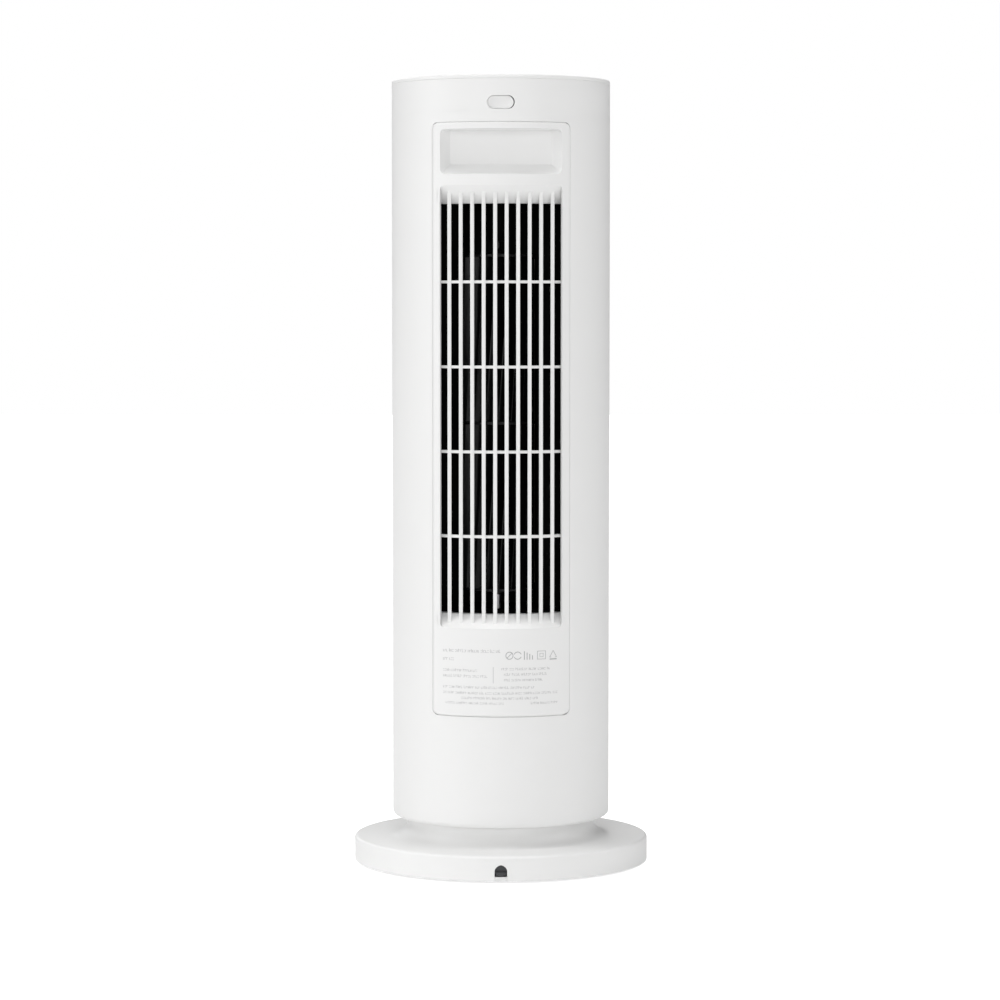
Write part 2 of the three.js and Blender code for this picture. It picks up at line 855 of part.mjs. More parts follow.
// One blade's section: a curved strip from the rim inwards, hollow towards the turning direction.
function bladeOutline() {
  const outer = fanRadius - 0.5;
  const inner = fanRadius - fanBladeDepth;
  const steps = 2;
  const centreLine = [];
  for (let i = 0; i <= steps; i += 1) {
    const along = i / steps;
    const radius = outer + (inner - outer) * along;
    const bow = fanBladeBow * Math.sin(Math.PI * along);
    centreLine.push([radius, fanBladeSweep * along * along + bow]);
  }
  const edge = (offset) =>
    centreLine.map(([radius, degrees]) =>
      onCircle(radius, degrees + THREE.MathUtils.radToDeg(offset / radius)),
    );
  const half = fanBladeThickness / 2;
  return polygon([...edge(-half), ...edge(half).reverse()]);
}

// A blade between two heights, leaning round the axis by the fan's twist.
function blade(bottom, top, degrees) {
  const settings = { depth: top - bottom, bevelEnabled: false };
  const made = new THREE.ExtrudeGeometry(bladeOutline(), settings);
  const places = made.getAttribute('position');
  for (let i = 0; i < places.count; i += 1) {
    const share = places.getZ(i) / (top - bottom);
    const turn = THREE.MathUtils.degToRad(degrees + fanTwist * (share - 0.5));
    const x = places.getX(i);
    const y = places.getY(i);
    const across = x * Math.cos(turn) - y * Math.sin(turn);
    const along = x * Math.sin(turn) + y * Math.cos(turn);
    places.setXY(i, across, along);
  }
  return solid(made.translate(0, 0, bottom));
}

// The cross-flow impeller, round its own axis: end discs, a middle disc and two rows of blades.
function impeller() {
  const middle = (fanBottom + fanTop) / 2;
  const discs = [fanBottom, middle, fanTop].map((z) =>
    cylinder(fanRadius, z - fanDisc / 2, z + fanDisc / 2, 24),
  );
  const rows = [[fanBottom, middle], [middle, fanTop]];
  const blades = rows.flatMap(([bottom, top]) =>
    Array.from({ length: fanBlades }, (_, i) => blade(bottom, top, (360 * i) / fanBlades)),
  );
  const bossBottom = fanBottom - 4;
  const boss = cylinder(fanHubRadius, bossBottom, bossBottom + fanHubLength, smallRound);
  const stub = cylinder(fanShaftRadius, fanTop, bearingBottom + bearingHeight - 1, smallRound);
  const shaftHole = cylinder(fanShaftRadius + 0.1, fanBottom - 5, fanBottom + 4, smallRound);
  return joined([...discs, ...blades, boss, stub]).subtract(shaftHole);
}

function fanShaft() {
  const bottom = ductBottom - ductPlate - fanMotorHeight + 4;
  return cylinder(fanShaftRadius, bottom, fanBottom + 4 - fit, smallRound);
}

function fanMotor() {
  const top = ductBottom - ductPlate - touch;
  const bottom = top - fanMotorHeight;
  const can = cylinder(fanMotorRadius, bottom, top, 32);
  const neck = cylinder(8, bottom - 3, bottom, smallRound);
  const bore = cylinder(fanShaftRadius + fit, bottom + 3, top + 1, smallRound);
  return can.add(neck).subtract(bore);
}

function fanBearing() {
  const outer = fanHubRadius - bearingWall;
  return ring(fanShaftRadius + fit, outer, bearingBottom, bearingBottom + bearingHeight, smallRound);
}

// ---------------------------------------------------------------- air duct

// A wall of even thickness along a line of points.
function wallOutline(points) {
  const side = (offset) =>
    points.map(([x, y], i) => {
      const [px, py] = points[Math.max(0, i - 1)];
      const [nx, ny] = points[Math.min(points.length - 1, i + 1)];
      const length = Math.hypot(nx - px, ny - py);
      return [x - (offset * (ny - py)) / length, y + (offset * (nx - px)) / length];
    });
  return polygon([...side(-ductWall / 2), ...side(ductWall / 2).reverse()]);
}

function ductWallSolid(points) {
  return raise(wallOutline(points), ductBottom + touch, ductTop - touch);
}

// How far to the side a duct wall's wing can go at a place y without touching the shells.
function wingReach(y) {
  return Math.sqrt((shellInner - 1) ** 2 - (Math.abs(y) + ductWall / 2) ** 2);
}

// Spiral wall: it opens from the fan's right side out to the heater's right edge.
function ductVolute() {
  const startRadius = fanRadius + ductGap + ductWall / 2;
  const startAngle = THREE.MathUtils.degToRad(-20);
  const endX = frameHalfWidth - ductWall / 2 - fanX;
  const endY = frameBack - fit - ductWall / 2 - fanY;
  const endRadius = Math.hypot(endX, endY);
  const endAngle = Math.atan2(endY, endX);
  const steps = 8;
  const points = [];
  for (let i = 0; i <= steps; i += 1) {
    const share = i / steps;
    const radius = startRadius * (endRadius / startRadius) ** share;
    const angle = startAngle + (endAngle - startAngle) * share;
    points.push([fanX + radius * Math.cos(angle), fanY + radius * Math.sin(angle)]);
  }
  const [x, y] = points[0];
  const wingY = y + 2;
  const wing = ductWallSolid([[x, y], [wingReach(wingY), wingY]]);
  return ductWallSolid(points).add(wing);
}

// Tongue: a short wall that stops the air from going round with the fan.
function ductTongue() {
  const nose = fanRadius + ductGap + ductWall / 2;
  const [noseX, noseY] = onCircle(nose, 155);
  const x = fanX + noseX;
  const y = fanY + noseY;
  const endX = -frameHalfWidth + ductWall / 2;
  const endY = frameBack - fit - ductWall / 2;
  const channel = ductWallSolid([[x, y], [(x + endX) / 2 - 1, y + 8], [endX, endY]]);
  const wingY = y - 3;
  const wing = ductWallSolid([[x, y], [-wingReach(wingY), wingY]]);
  const bead = cylinder(ductWall * 0.7, ductBottom + touch, ductTop - touch, 12).translate([x, y, 0]);
  return joined([channel, wing, bead]);
}

// A plate across the tower that closes one end of the duct.
function ductPlateSolid(bottom, holeRadius) {
  const disc = cylinder(shellInner - fit, bottom, bottom + ductPlate, round);
  const strip = box(-towerRadius, towerRadius, -ductHalfDepth, ductHalfDepth, bottom - 1, bottom + 9);
  const hole = cylinder(holeRadius, bottom - 1, bottom + ductPlate + 1, smallRound);
  const lead = cylinder(harnessRadius + 1, bottom - 1, bottom + ductPlate + 1, 12);
  return disc
    .intersect(strip)
    .subtract(hole.translate([fanX, fanY, 0]))
    .subtract(lead.translate([harnessX, 0, 0]));
}

// The roof carries the boss that holds the fan's upper bearing.
function ductRoof() {
  const seat = fanHubRadius - bearingWall + fit;
  const boss = ring(seat, fanHubRadius, bearingBottom, ductTop + 1, smallRound);
  return ductPlateSolid(ductTop, seat).add(boss.translate([fanX, fanY, 0]));
}

// ---------------------------------------------------------------- heater

// A ceramic element: upright bars between two headers, with open ways for the air.
function heaterElement() {
  const bottom = heaterBottom;
  const top = heaterTop;
  const y0 = heaterRow - heaterDepth / 2;
  let made = box(-heaterHalfWidth, heaterHalfWidth, y0, y0 + heaterDepth, bottom, top);
  const way = (2 * heaterHalfWidth - heaterBars * heaterBarWidth) / (heaterBars - 1);
  for (let i = 0; i < heaterBars - 1; i += 1) {
    const x0 = -heaterHalfWidth + heaterBarWidth + (way + heaterBarWidth) * i;
    const y1 = y0 + heaterDepth;
    made = made.subtract(box(x0, x0 + way, y0 - 1, y1 + 1, bottom + headerHeight, top - headerHeight));
  }
  return made;
}

function heaterFrame() {
  const bottom = ductBottom + touch;
  const top = ductTop - touch;
  const depth = heaterDepth + 4;
  const outer = box(-frameHalfWidth, frameHalfWidth, frameBack, frameBack + depth, bottom, top);
  const half = heaterHalfWidth + fit;
  const low = heaterBottom - fit;
  const high = heaterTop + fit;
  const seat = box(-half, half, frameBack + 2 - touch, frameBack + depth + 1, low, high);
  const way = box(-half + 4, half - 4, frameBack - 1, frameBack + depth + 1, low + 4, high - 4);
  return outer.subtract(seat).subtract(way);
}

function thermalCutout() {
  const y = frameBack + heaterDepth + 4;
  const disc = polygon(arc(0, ductTop - 9, 6, 0, 337.5, 15));
  const tabs = box(-9, 9, y + 1.2, y + 2, ductTop - 11, ductTop - 7);
  return carryBack(disc, y + fit, y + 5).add(tabs);
}

function airSensor() {
  const stalk = cylinder(1.2, ductTop + ductPlate + touch, ductTop + ductPlate + 12, 8);
  const bead = solid(new THREE.SphereGeometry(2.4, 10, 8));
  return stalk.add(bead.translate([0, 0, ductTop + ductPlate + 13]));
}

// ---------------------------------------------------------------- electronics

function powerBoard() {
  const bottom = ductTop + ductPlate + touch;
  const half = powerBoardHalfWidth;
  const board = box(-half, half, 0, boardThickness, bottom, bottom + powerBoardHeight);
  const relay = box(-36, -18, boardThickness - 0.1, 16, bottom + 12, bottom + 28);
  const secondRelay = box(-10, 8, boardThickness - 0.1, 16, bottom + 12, bottom + 28);
  const filterCan = box(16, 38, boardThickness - 0.1, 14, bottom + 30, bottom + 46);
  return joined([board, relay, secondRelay, filterCan]);
}

function tiltSwitch() {
  const bottom = ductTop + ductPlate + touch;
  return box(24, 36, 20, 32, bottom, bottom + 18);
}

// Wiring from the hub up past the duct to the power board.
function towerHarness() {
  const roof = ductTop + ductPlate;
  const path = new THREE.CatmullRomCurve3([
    new THREE.Vector3(0, 0, gearTop + 8),
    new THREE.Vector3(-4, -3, gearTop + 24),
    new THREE.Vector3(-30, -4, gearTop + 46),
    new THREE.Vector3(harnessX, 0, gearTop + 72),
    new THREE.Vector3(harnessX, 0, ductBottom - 20),
    new THREE.Vector3(harnessX, 0, (ductBottom + ductTop) / 2),
    new THREE.Vector3(harnessX, 0, roof + 4),
    new THREE.Vector3(harnessX, 0, roof + 20),
  ]);
  const section = polygon(arc(0, 0, harnessRadius, 0, 300, 5));
  return solid(new THREE.ExtrudeGeometry(section, { steps: 16, extrudePath: path }));
}

// ---------------------------------------------------------------- assembly

const heater = new THREE.Group();
const base = new THREE.Group();
heater.add(base);

base.add(piece('base_cover', baseCover(), finish.whitePlastic));
base.add(piece('base_plate', basePlate(), finish.blackPlastic));
base.add(piece('ballast_plate', ballastPlate(), finish.castIron));
base.add(piece('cord_gland', cordGland(), finish.rubber));
base.add(piece('neck_collar', neckCollar(), finish.whitePlastic));
base.add(piece('slide_washer', slideWasher(), finish.acetal));
base.add(piece('swing_gear', swingGear(), finish.acetal));
base.add(piece('hub_ring', hubRing(), finish.steel));

for (let i = 0; i < 4; i += 1) {
  const foot = piece(`rubber_foot_${i + 1}`, cylinder(footRadius, 0, footThickness, 16), finish.rubber);
  const [x, y] = onCircle(footCircle, footFirst + 90 * i);
  foot.position.set(x, y, 0);
  base.add(foot);
}

baseScrewAngles.forEach((degrees, i) => {
  const fastener = piece(`base_screw_${i + 1}`, screwSolid(), finish.steel);
  const [x, y] = onCircle(baseScrewCircle, degrees);
  fastener.position.set(x, y, footProud);
  base.add(fastener);
});

const tower = new THREE.Group();
tower.position.z = towerBottom;
heater.add(tower);

tower.add(piece('bottom_cover', bottomCover(), finish.whitePlastic));
tower.add(piece('rear_shell', rearShell(), finish.whitePlastic));
tower.add(piece('front_shell', frontShell(), finish.whitePlastic));
tower.add(piece('rear_panel', rearPanel(), finish.whitePlastic));
tower.add(piece('front_grille', frontGrille(), finish.whitePlastic));
tower.add(piece('top_cover', topCover(), finish.whitePlastic));
tower.add(piece('display_window', displayWindow(), finish.smokedWindow));
tower.add(piece('control_board', controlBoard(), finish.circuitBoard));
tower.add(piece('rocker_housing', rockerHousing(), finish.blackPlastic));
const ductFloor = ductPlateSolid(ductBottom - ductPlate, fanHubRadius + 2);
tower.add(piece('duct_floor', ductFloor, finish.blackPlastic));
tower.add(piece('duct_roof', ductRoof(), finish.blackPlastic));
tower.add(piece('duct_volute', ductVolute(), finish.blackPlastic));
tower.add(piece('duct_tongue', ductTongue(), finish.blackPlastic));
tower.add(piece('heater_element', heaterElement(), finish.ceramic));
tower.add(piece('heater_frame', heaterFrame(), finish.heatPlastic));
tower.add(piece('thermal_cutout', thermalCutout(), finish.steel));
tower.add(piece('power_board', powerBoard(), finish.circuitBoard));
tower.add(piece('tilt_switch', tiltSwitch(), finish.blackPlastic));
tower.add(piece('tower_harness', towerHarness(), finish.wire));

coverScrewAngles.forEach((degrees, i) => {
  const fastener = piece(`tower_screw_${i + 1}`, screwSolid(), finish.steel);
  const [x, y] = coverScrewPlace(degrees);
  fastener.position.set(x, y, touch);
  tower.add(fastener);
});

const sensor = piece('air_sensor', airSensor(), finish.wire);
sensor.position.set(-40, 14, 0);
tower.add(sensor);

const swingDrive = new THREE.Group();
swingDrive.position.set(0, gearDistance, 0);
tower.add(swingDrive);
const pinion = piece('swing_pinion', swingPinion(), finish.acetal);
pinion.position.z = gearBottom + fit / 2;
const motor = piece('swing_motor', swingMotor(), finish.steel);
motor.position.z = swingMotorBottom;
const bracket = piece('swing_bracket', swingBracket(), finish.steel);
bracket.position.z = bracketBottom;
swingDrive.add(pinion, motor, bracket);

const fan = new THREE.Group();
fan.position.set(fanX, fanY, 0);
tower.add(fan);
fan.add(piece('impeller', impeller(), finish.blackPlastic));
fan.add(piece('fan_shaft', fanShaft(), finish.steel));
fan.add(piece('fan_motor', fanMotor(), finish.steel));
fan.add(piece('fan_bearing', fanBearing(), finish.rubber));

const rocker = piece('mains_rocker', mainsRocker(), finish.whitePlastic);
rocker.position.set(0, -towerRadius + rockerSetback + rockerPivotDepth, towerHeight - switchBelowTop);
rocker.rotation.z = THREE.MathUtils.degToRad(-rockerTilt);
tower.add(rocker);

['power_button', 'mode_button', 'swing_button'].forEach((name, i) => {
  const key = piece(name, keyButton(), finish.whitePlastic);
  const [x, y] = buttonPlaces()[i];
  key.position.set(x, y, towerHeight);
  tower.add(key);
});

export default heater;
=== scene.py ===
import math
import bmesh
import bpy
import numpy as np
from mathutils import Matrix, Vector
from mathutils.geometry import tessellate_polygon


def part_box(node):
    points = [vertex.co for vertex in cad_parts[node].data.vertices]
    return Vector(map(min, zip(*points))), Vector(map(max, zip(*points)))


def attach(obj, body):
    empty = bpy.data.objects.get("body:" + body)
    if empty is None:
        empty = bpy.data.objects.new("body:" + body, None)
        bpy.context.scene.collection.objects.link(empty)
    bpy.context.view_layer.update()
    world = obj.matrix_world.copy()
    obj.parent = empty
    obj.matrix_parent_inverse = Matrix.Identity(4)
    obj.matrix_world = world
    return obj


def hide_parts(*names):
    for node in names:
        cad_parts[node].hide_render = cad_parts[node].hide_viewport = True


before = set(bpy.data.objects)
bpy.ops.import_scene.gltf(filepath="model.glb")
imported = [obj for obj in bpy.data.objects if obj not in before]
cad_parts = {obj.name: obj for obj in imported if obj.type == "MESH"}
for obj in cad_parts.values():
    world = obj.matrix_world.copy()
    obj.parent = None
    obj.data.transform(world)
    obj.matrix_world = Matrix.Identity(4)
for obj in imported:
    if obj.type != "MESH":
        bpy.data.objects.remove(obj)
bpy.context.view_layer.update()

mm = 0.001   # the shapes below are worked out in millimetres


def span(node):   # lowest and highest corner of a node, in millimetres
    low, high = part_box(node)
    return np.array(low) / mm, np.array(high) / mm


def middleOf(node):   # x and y of a node's middle, in millimetres
    low, high = span(node)
    return tuple((low + high)[:2] / 2)


shellLow = span("rear_shell")[0]
coverHigh = span("top_cover")[1]
panelLow, panelHigh = span("rear_panel")
baseLow, baseHigh = span("base_cover")
fanLow, fanHigh = span("impeller")

tower = {
    "radius": -shellLow[1],
    "bottom": shellLow[2],
    "top": coverHigh[2],
    "wall": 2.4,
    "coverEdge": 2.4,   # height of the top cover's edge, down to its joint with the casing
    "coverJoint": 0.06,
    "lowerEdge": 3.3,   # rounding of the lower rim
    "turnedIn": 8.5,    # how far the lower rim reaches inwards
    "joint": 0.16,      # between the casing's halves, and round what is set into them
}
tower["shellTop"] = tower["top"] - tower["coverEdge"] - tower["coverJoint"]

# ---- shapes as arrays


# Quads between neighbouring points of a grid, which closes on itself where its rows or columns are wrapped.
def gridFaces(rows, cols, wrapRows=False, wrapCols=False, keep=None, flip=False):
    r, c = np.meshgrid(np.arange(rows - (not wrapRows)), np.arange(cols - (not wrapCols)), indexing="ij")
    r2, c2 = (r + 1) % rows, (c + 1) % cols
    quads = np.stack([r * cols + c, r * cols + c2, r2 * cols + c2, r2 * cols + c], -1)
    if keep is not None:
        quads = quads[keep]
    quads = quads.reshape(-1, 4)
    return quads[:, ::-1] if flip else quads


# A surface as its points in one list and its quads.
def patch(points, wrapRows=False, wrapCols=False, keep=None, flip=False):
    rows, cols = points.shape[:2]
    return points.reshape(-1, 3), gridFaces(rows, cols, wrapRows, wrapCols, keep, flip).tolist()


# A corner of an outline becomes an arc that touches both of its sides.
def filleted(corners, radii, steps=5, closed=True):
    corners = np.array(corners, float)
    count = len(corners)
    radii = np.broadcast_to(radii, count)
    out = []
    for i in range(count):
        here = corners[i]
        if radii[i] <= 0 or (not closed and i in (0, count - 1)):
            out.append(here[None])
            continue
        back, ahead = corners[i - 1] - here, corners[(i + 1) % count] - here
        back, ahead = back / np.linalg.norm(back), ahead / np.linalg.norm(ahead)
        half = math.acos(np.clip(back @ ahead, -1, 1)) / 2
        centre = here + (back + ahead) / np.linalg.norm(back + ahead) * radii[i] / math.sin(half)
        first, last = here + back * radii[i] / math.tan(half), here + ahead * radii[i] / math.tan(half)
        a0, a1 = np.arctan2(*(first - centre)[::-1]), np.arctan2(*(last - centre)[::-1])
        turn = (a1 - a0 + math.pi) % (2 * math.pi) - math.pi
        angles = a0 + turn * np.linspace(0, 1, steps + 1)
        out.append(centre + radii[i] * np.stack([np.cos(angles), np.sin(angles)], 1))
    return np.concatenate(out)


# Surface of revolution: column j turns the (radius, height) profile to angle j about an upright axis.
def lathe(profile, segments=160, centre=(0, 0), closed=True, start=0.0, sweep=2 * math.pi):
    whole = abs(sweep - 2 * math.pi) < 1e-9
    angles = start + sweep * np.arange(segments + (not whole)) / segments
    profile = np.array(profile, float)
    points = np.empty((len(profile), len(angles), 3))
    points[..., 0] = centre[0] + profile[:, :1] * np.cos(angles)
    points[..., 1] = centre[1] + profile[:, :1] * np.sin(angles)
    points[..., 2] = profile[:, 1:]
    return patch(points, wrapRows=closed, wrapCols=whole)


# A solid of revolution from (radius, height) corners that begin and end on the axis.
def turned(corners, radii, centre, segments, steps=4):
    return lathe(filleted(corners, radii, steps, closed=False), segments, centre, closed=False)


# A flat outline (counter-clockwise) carried through a list of heights, with flat ends.
def prism(outline, heights, ends=True):
    outline = np.array(outline, float)
    points = np.empty((len(heights), len(outline), 3))
    points[..., :2] = outline
    points[..., 2] = np.array(heights, float)[:, None]
    flat, faces = patch(points, wrapCols=True)
    if ends:
        count = len(outline)
        triangles = tessellate_polygon([[Vector((x, y, 0)) for x, y in outline]])
        last = (len(heights) - 1) * count
        area = [np.cross(outline[b] - outline[a], outline[c] - outline[a]) for a, b, c in triangles]
        for (a, b, c), size in zip(triangles, area):
            if size < 0:
                a, c = c, a
            faces.append([last + a, last + b, last + c])
            faces.append([c, b, a])
    return flat, faces


# Flat face with holes at one height: the outline and the holes are lists of (x, y).
def plate(outline, holes, height, upwards=True):
    loops = [np.array(loop, float) for loop in [outline, *holes]]
    triangles = tessellate_polygon([[Vector((x, y, 0)) for x, y in loop] for loop in loops])
    flat = np.concatenate(loops)
    faces = []
    for a, b, c in triangles:
        size = np.cross(flat[b] - flat[a], flat[c] - flat[a])
        if (size > 0) != upwards:
            a, c = c, a
        faces.append([a, b, c])
    return np.column_stack([flat, np.full(len(flat), height)]), faces


# Wall round a loop: row k is the loop grown by offset k, at height k.
def rim(loopAt, profile, flip=False):
    points = np.stack([np.column_stack([loopAt(grow), np.full(len(loopAt(grow)), z)]) for grow, z in profile])
    return patch(points, wrapCols=True, flip=flip)


def circle(radius, segments=48, centre=(0, 0)):
    angles = 2 * math.pi * np.arange(segments) / segments
    return np.stack([centre[0] + radius * np.cos(angles), centre[1] + radius * np.sin(angles)], 1)


# Rounded rectangle with the same count of points whatever its size, from the right end of its lower side.
def roundedLoop(halfWidth, low, high, corner, along=24, up=24, turn=8):
    corner = max(corner, 1e-6)
    quarter = np.linspace(0, math.pi / 2, turn + 1)
    sides = []
    centres = [(halfWidth - corner, low + corner), (halfWidth - corner, high - corner),
               (-halfWidth + corner, high - corner), (-halfWidth + corner, low + corner)]
    for i, (cx, cy) in enumerate(centres):
        angles = quarter + (i - 1) * math.pi / 2
        arcPoints = np.stack([cx + corner * np.cos(angles), cy + corner * np.sin(angles)], 1)
        nextCx, nextCy = centres[(i + 1) % 4]
        angle = i * math.pi / 2
        end = np.array([nextCx + corner * math.cos(angle), nextCy + corner * math.sin(angle)])
        steps = up if i % 2 == 0 else along
        straight = arcPoints[-1] + (end - arcPoints[-1]) * np.linspace(0, 1, steps + 1)[1:-1, None]
        sides += [arcPoints, straight]
    return np.concatenate(sides)


# Wraps (arc length, height) round the tower at a radius; front turns it half way round.
def wrap(flat, radius, front=False):
    angle = flat[..., 0] / tower["radius"]
    side = -1 if front else 1
    return np.stack([side * radius * np.sin(angle), -side * radius * np.cos(angle), flat[..., 1]], -1)


# Sheet from a hole's loop straight to an outer loop: p = hole + (outer - hole) * share ** ease.
def between(hole, outer, steps, radius, front=False, ease=1.5):
    share = (np.linspace(0, 1, steps + 1) ** ease)[:, None, None]
    return patch(wrap(hole + (outer - hole) * share, radius, front), wrapCols=True, flip=True)


# Closed rows of points as one solid, with a face over its first and its last row.
def capped(points):
    ring = list(range(points.shape[1]))
    return [patch(points, wrapCols=True), (points[-1], [ring]), (points[0], [ring[::-1]])]


# ---- materials


def nodeMaterial(name, color, roughness, metallic=0.0, **sockets):
    mat = bpy.data.materials.new(name)
    mat.use_nodes = True
    shader = mat.node_tree.nodes["Principled BSDF"]
    shader.inputs["Base Color"].default_value = (*color, 1)
    shader.inputs["Roughness"].default_value = roughness
    shader.inputs["Metallic"].default_value = metallic
    for socket, value in sockets.items():
        shader.inputs[socket.replace("_", " ")].default_value = value
    return mat, mat.node_tree, shader


def link(tree, a, output, b, socket):
    tree.links.new(a.outputs[output], b.inputs[socket])


def addNode(tree, kind, **values):
    made = tree.nodes.new(kind)
    for key, value in values.items():
        if key in made.inputs:
            made.inputs[key].default_value = value
        else:
            setattr(made, key, value)
    return made


# A noise's value brought into the range from low to high.
def rangeNode(tree, source, low, high):
    made = addNode(tree, "ShaderNodeMapRange")
    made.inputs["To Min"].default_value = low
    made.inputs["To Max"].default_value = high
    link(tree, source, "Fac", made, "Value")
    return made


def bumpNode(tree, source, shader, strength):
    bump = addNode(tree, "ShaderNodeBump", Strength=strength, Distance=0.0001)
    link(tree, source, "Fac", bump, "Height")
    link(tree, bump, "Normal", shader, "Normal")


# Moulded plastic: a fine spark-eroded grain in the bump, a slower waviness, and faint tone changes.
def mouldedPlastic(name, color, roughness, grain=0.06, tone=0.012, grainScale=2600.0, spread=0.05,
                   specular=0.5):
    mat, tree, shader = nodeMaterial(name, color, roughness, IOR=1.49, Specular_IOR_Level=specular)
    place = addNode(tree, "ShaderNodeTexCoord")
    fine = addNode(tree, "ShaderNodeTexNoise", Scale=grainScale, Detail=2.0, Roughness=0.6)
    slow = addNode(tree, "ShaderNodeTexNoise", Scale=22.0, Detail=3.0, Roughness=0.5)
    for source in (fine, slow):
        link(tree, place, "Object", source, "Vector")
    tint = rangeNode(tree, slow, 1 - tone, 1 + tone)
    mix = addNode(tree, "ShaderNodeMix", data_type="RGBA", blend_type="MULTIPLY")
    mix.inputs["Factor"].default_value = 1.0
    mix.inputs["A"].default_value = (*color, 1)
    link(tree, tint, "Result", mix, "B")
    link(tree, mix, "Result", shader, "Base Color")
    gloss = rangeNode(tree, fine, roughness - spread, roughness + spread)
    link(tree, gloss, "Result", shader, "Roughness")
    bumpNode(tree, fine, shader, grain)
    return mat


# Brushed or rolled metal: streaks along one direction in bump and roughness.
def drawnMetal(name, color, roughness, stretch=(40.0, 40.0, 900.0)):
    mat, tree, shader = nodeMaterial(name, color, roughness, metallic=1.0)
    place = addNode(tree, "ShaderNodeTexCoord")
    scale = addNode(tree, "ShaderNodeMapping")
    scale.inputs["Scale"].default_value = stretch
    streaks = addNode(tree, "ShaderNodeTexNoise", Scale=6.0, Detail=4.0)
    link(tree, place, "Object", scale, "Vector")
    link(tree, scale, "Vector", streaks, "Vector")
    gloss = rangeNode(tree, streaks, roughness * 0.7, min(1.0, roughness * 1.4))
    link(tree, gloss, "Result", shader, "Roughness")
    bumpNode(tree, streaks, shader, 0.15)
    return mat


finishes = {
    "shell": mouldedPlastic("whiteShellPlastic", (0.86, 0.86, 0.855), 0.42),
    "panel": mouldedPlastic("whitePanelPlastic", (0.86, 0.86, 0.855), 0.45, grain=0.09),
    "key": mouldedPlastic("whiteKeyPlastic", (0.84, 0.84, 0.835), 0.36, grain=0.03),
    "fan": mouldedPlastic("blackFanPlastic", (0.004, 0.004, 0.0045), 0.26, grain=0.03, tone=0.1,
                          spread=0.03, specular=0.35),
    "duct": mouldedPlastic("blackDuctPlastic", (0.002, 0.002, 0.0022), 0.8, grain=0.15, tone=0.12,
                           specular=0.1),
    "rubber": mouldedPlastic("darkRubber", (0.045, 0.046, 0.049), 0.62, grain=0.25, tone=0.08,
                             grainScale=1500.0),
    "acetal": mouldedPlastic("naturalAcetal", (0.78, 0.76, 0.7), 0.4, grain=0.05),
    "heatFrame": mouldedPlastic("heatproofPlastic", (0.004, 0.004, 0.0045), 0.7, grain=0.2,
                                specular=0.15),
    # the boards are near-black as painted shade, so what shows of them through the slots reads as the dark
    # inside
    "board": mouldedPlastic("circuitBoardPaintedShade", (0.006, 0.008, 0.007), 0.4, grain=0.1, tone=0.15),
    "wire": mouldedPlastic("blackWireSleeve", (0.015, 0.015, 0.016), 0.5),
    "smoked": mouldedPlastic("smokedWindowAcrylic", (0.008, 0.008, 0.010), 0.08, grain=0.0,
                             spread=0.01),
    "ink": mouldedPlastic("greyPrintInk", (0.42, 0.42, 0.425), 0.55, grain=0.05),
    "steel": drawnMetal("zincPlatedSteel", (0.62, 0.62, 0.63), 0.35),
    "iron": drawnMetal("castBallastIron", (0.16, 0.16, 0.165), 0.7, stretch=(200.0, 200.0, 200.0)),
    "fins": drawnMetal("heaterAluminium", (0.46, 0.46, 0.47), 0.42),
    "ceramic": mouldedPlastic("heaterCeramic", (0.16, 0.14, 0.125), 0.75, grain=0.3, tone=0.15,
                              grainScale=900.0),
}
print("materials ready")

# ---- making a piece

build = {
    "weld": 3e-6,        # metres within which points are one
    "sliver": 1e-7,
    "sharpAngle": 35,
    "bevelAngle": 50,
}


# Joins patches into one mesh. solid is a sheet's wall and bevel its edge's rounding, both in millimetres.
def makePiece(name, patches, finish, body, replaces=(), solid=0.0, bevel=0.0, closed=False,
              even=False):
    offset, points, faces = 0, [], []
    for flat, quads in patches:
        points.append(flat)
        faces += [[i + offset for i in face] for face in quads]
        offset += len(flat)
    mesh = bpy.data.meshes.new(name)
    mesh.from_pydata((np.concatenate(points) * mm).tolist(), [], faces)
    bm = bmesh.new()
    bm.from_mesh(mesh)
    bmesh.ops.remove_doubles(bm, verts=bm.verts, dist=build["weld"])
    bmesh.ops.dissolve_degenerate(bm, edges=bm.edges, dist=build["sliver"])
    if closed:
        bmesh.ops.recalc_face_normals(bm, faces=bm.faces)
    bm.to_mesh(mesh)
    bm.free()
    mesh.polygons.foreach_set("use_smooth", np.ones(len(mesh.polygons), bool))
    mesh.set_sharp_from_angle(angle=math.radians(build["sharpAngle"]))
    mesh.materials.append(finishes[finish])
    piece = bpy.data.objects.new(name, mesh)
    bpy.context.scene.collection.objects.link(piece)
    if solid:
        wall = piece.modifiers.new("wall", "SOLIDIFY")
        wall.thickness = solid * mm
        wall.offset = -1
    if bevel:
        edge = piece.modifiers.new("edge", "BEVEL")
        edge.width = bevel * mm
        edge.segments = 2
        edge.limit_method = "ANGLE"
        edge.angle_limit = math.radians(build["bevelAngle"])
    if even:   # wide flat faces keep their own normals, so they stay even beside rounded edges
        normals = piece.modifiers.new("normals", "WEIGHTED_NORMAL")
        normals.keep_sharp = True
        normals.weight = 100
    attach(piece, body)
    if replaces:
        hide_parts(*replaces)


# ---- camera, light and floor

view = {
    "distance": 2176.14,
    "height": 361.27,
    "side": -0.57,
    "pitch": 3.3018,
    "lens": 120.57,
    "sensor": 36.0,
    "farthest": 50,   # metres
}


def makeCamera():
    data = bpy.data.cameras.new("camera")
    data.lens = view["lens"]
    data.sensor_width = view["sensor"]
    data.clip_end = view["farthest"]
    camera = bpy.data.objects.new("camera", data)
    camera.location = (view["side"] * mm, -view["distance"] * mm, view["height"] * mm)
    camera.rotation_euler = (math.radians(90 - view["pitch"]), 0, 0)
    bpy.context.scene.collection.objects.link(camera)
    bpy.context.scene.camera = camera


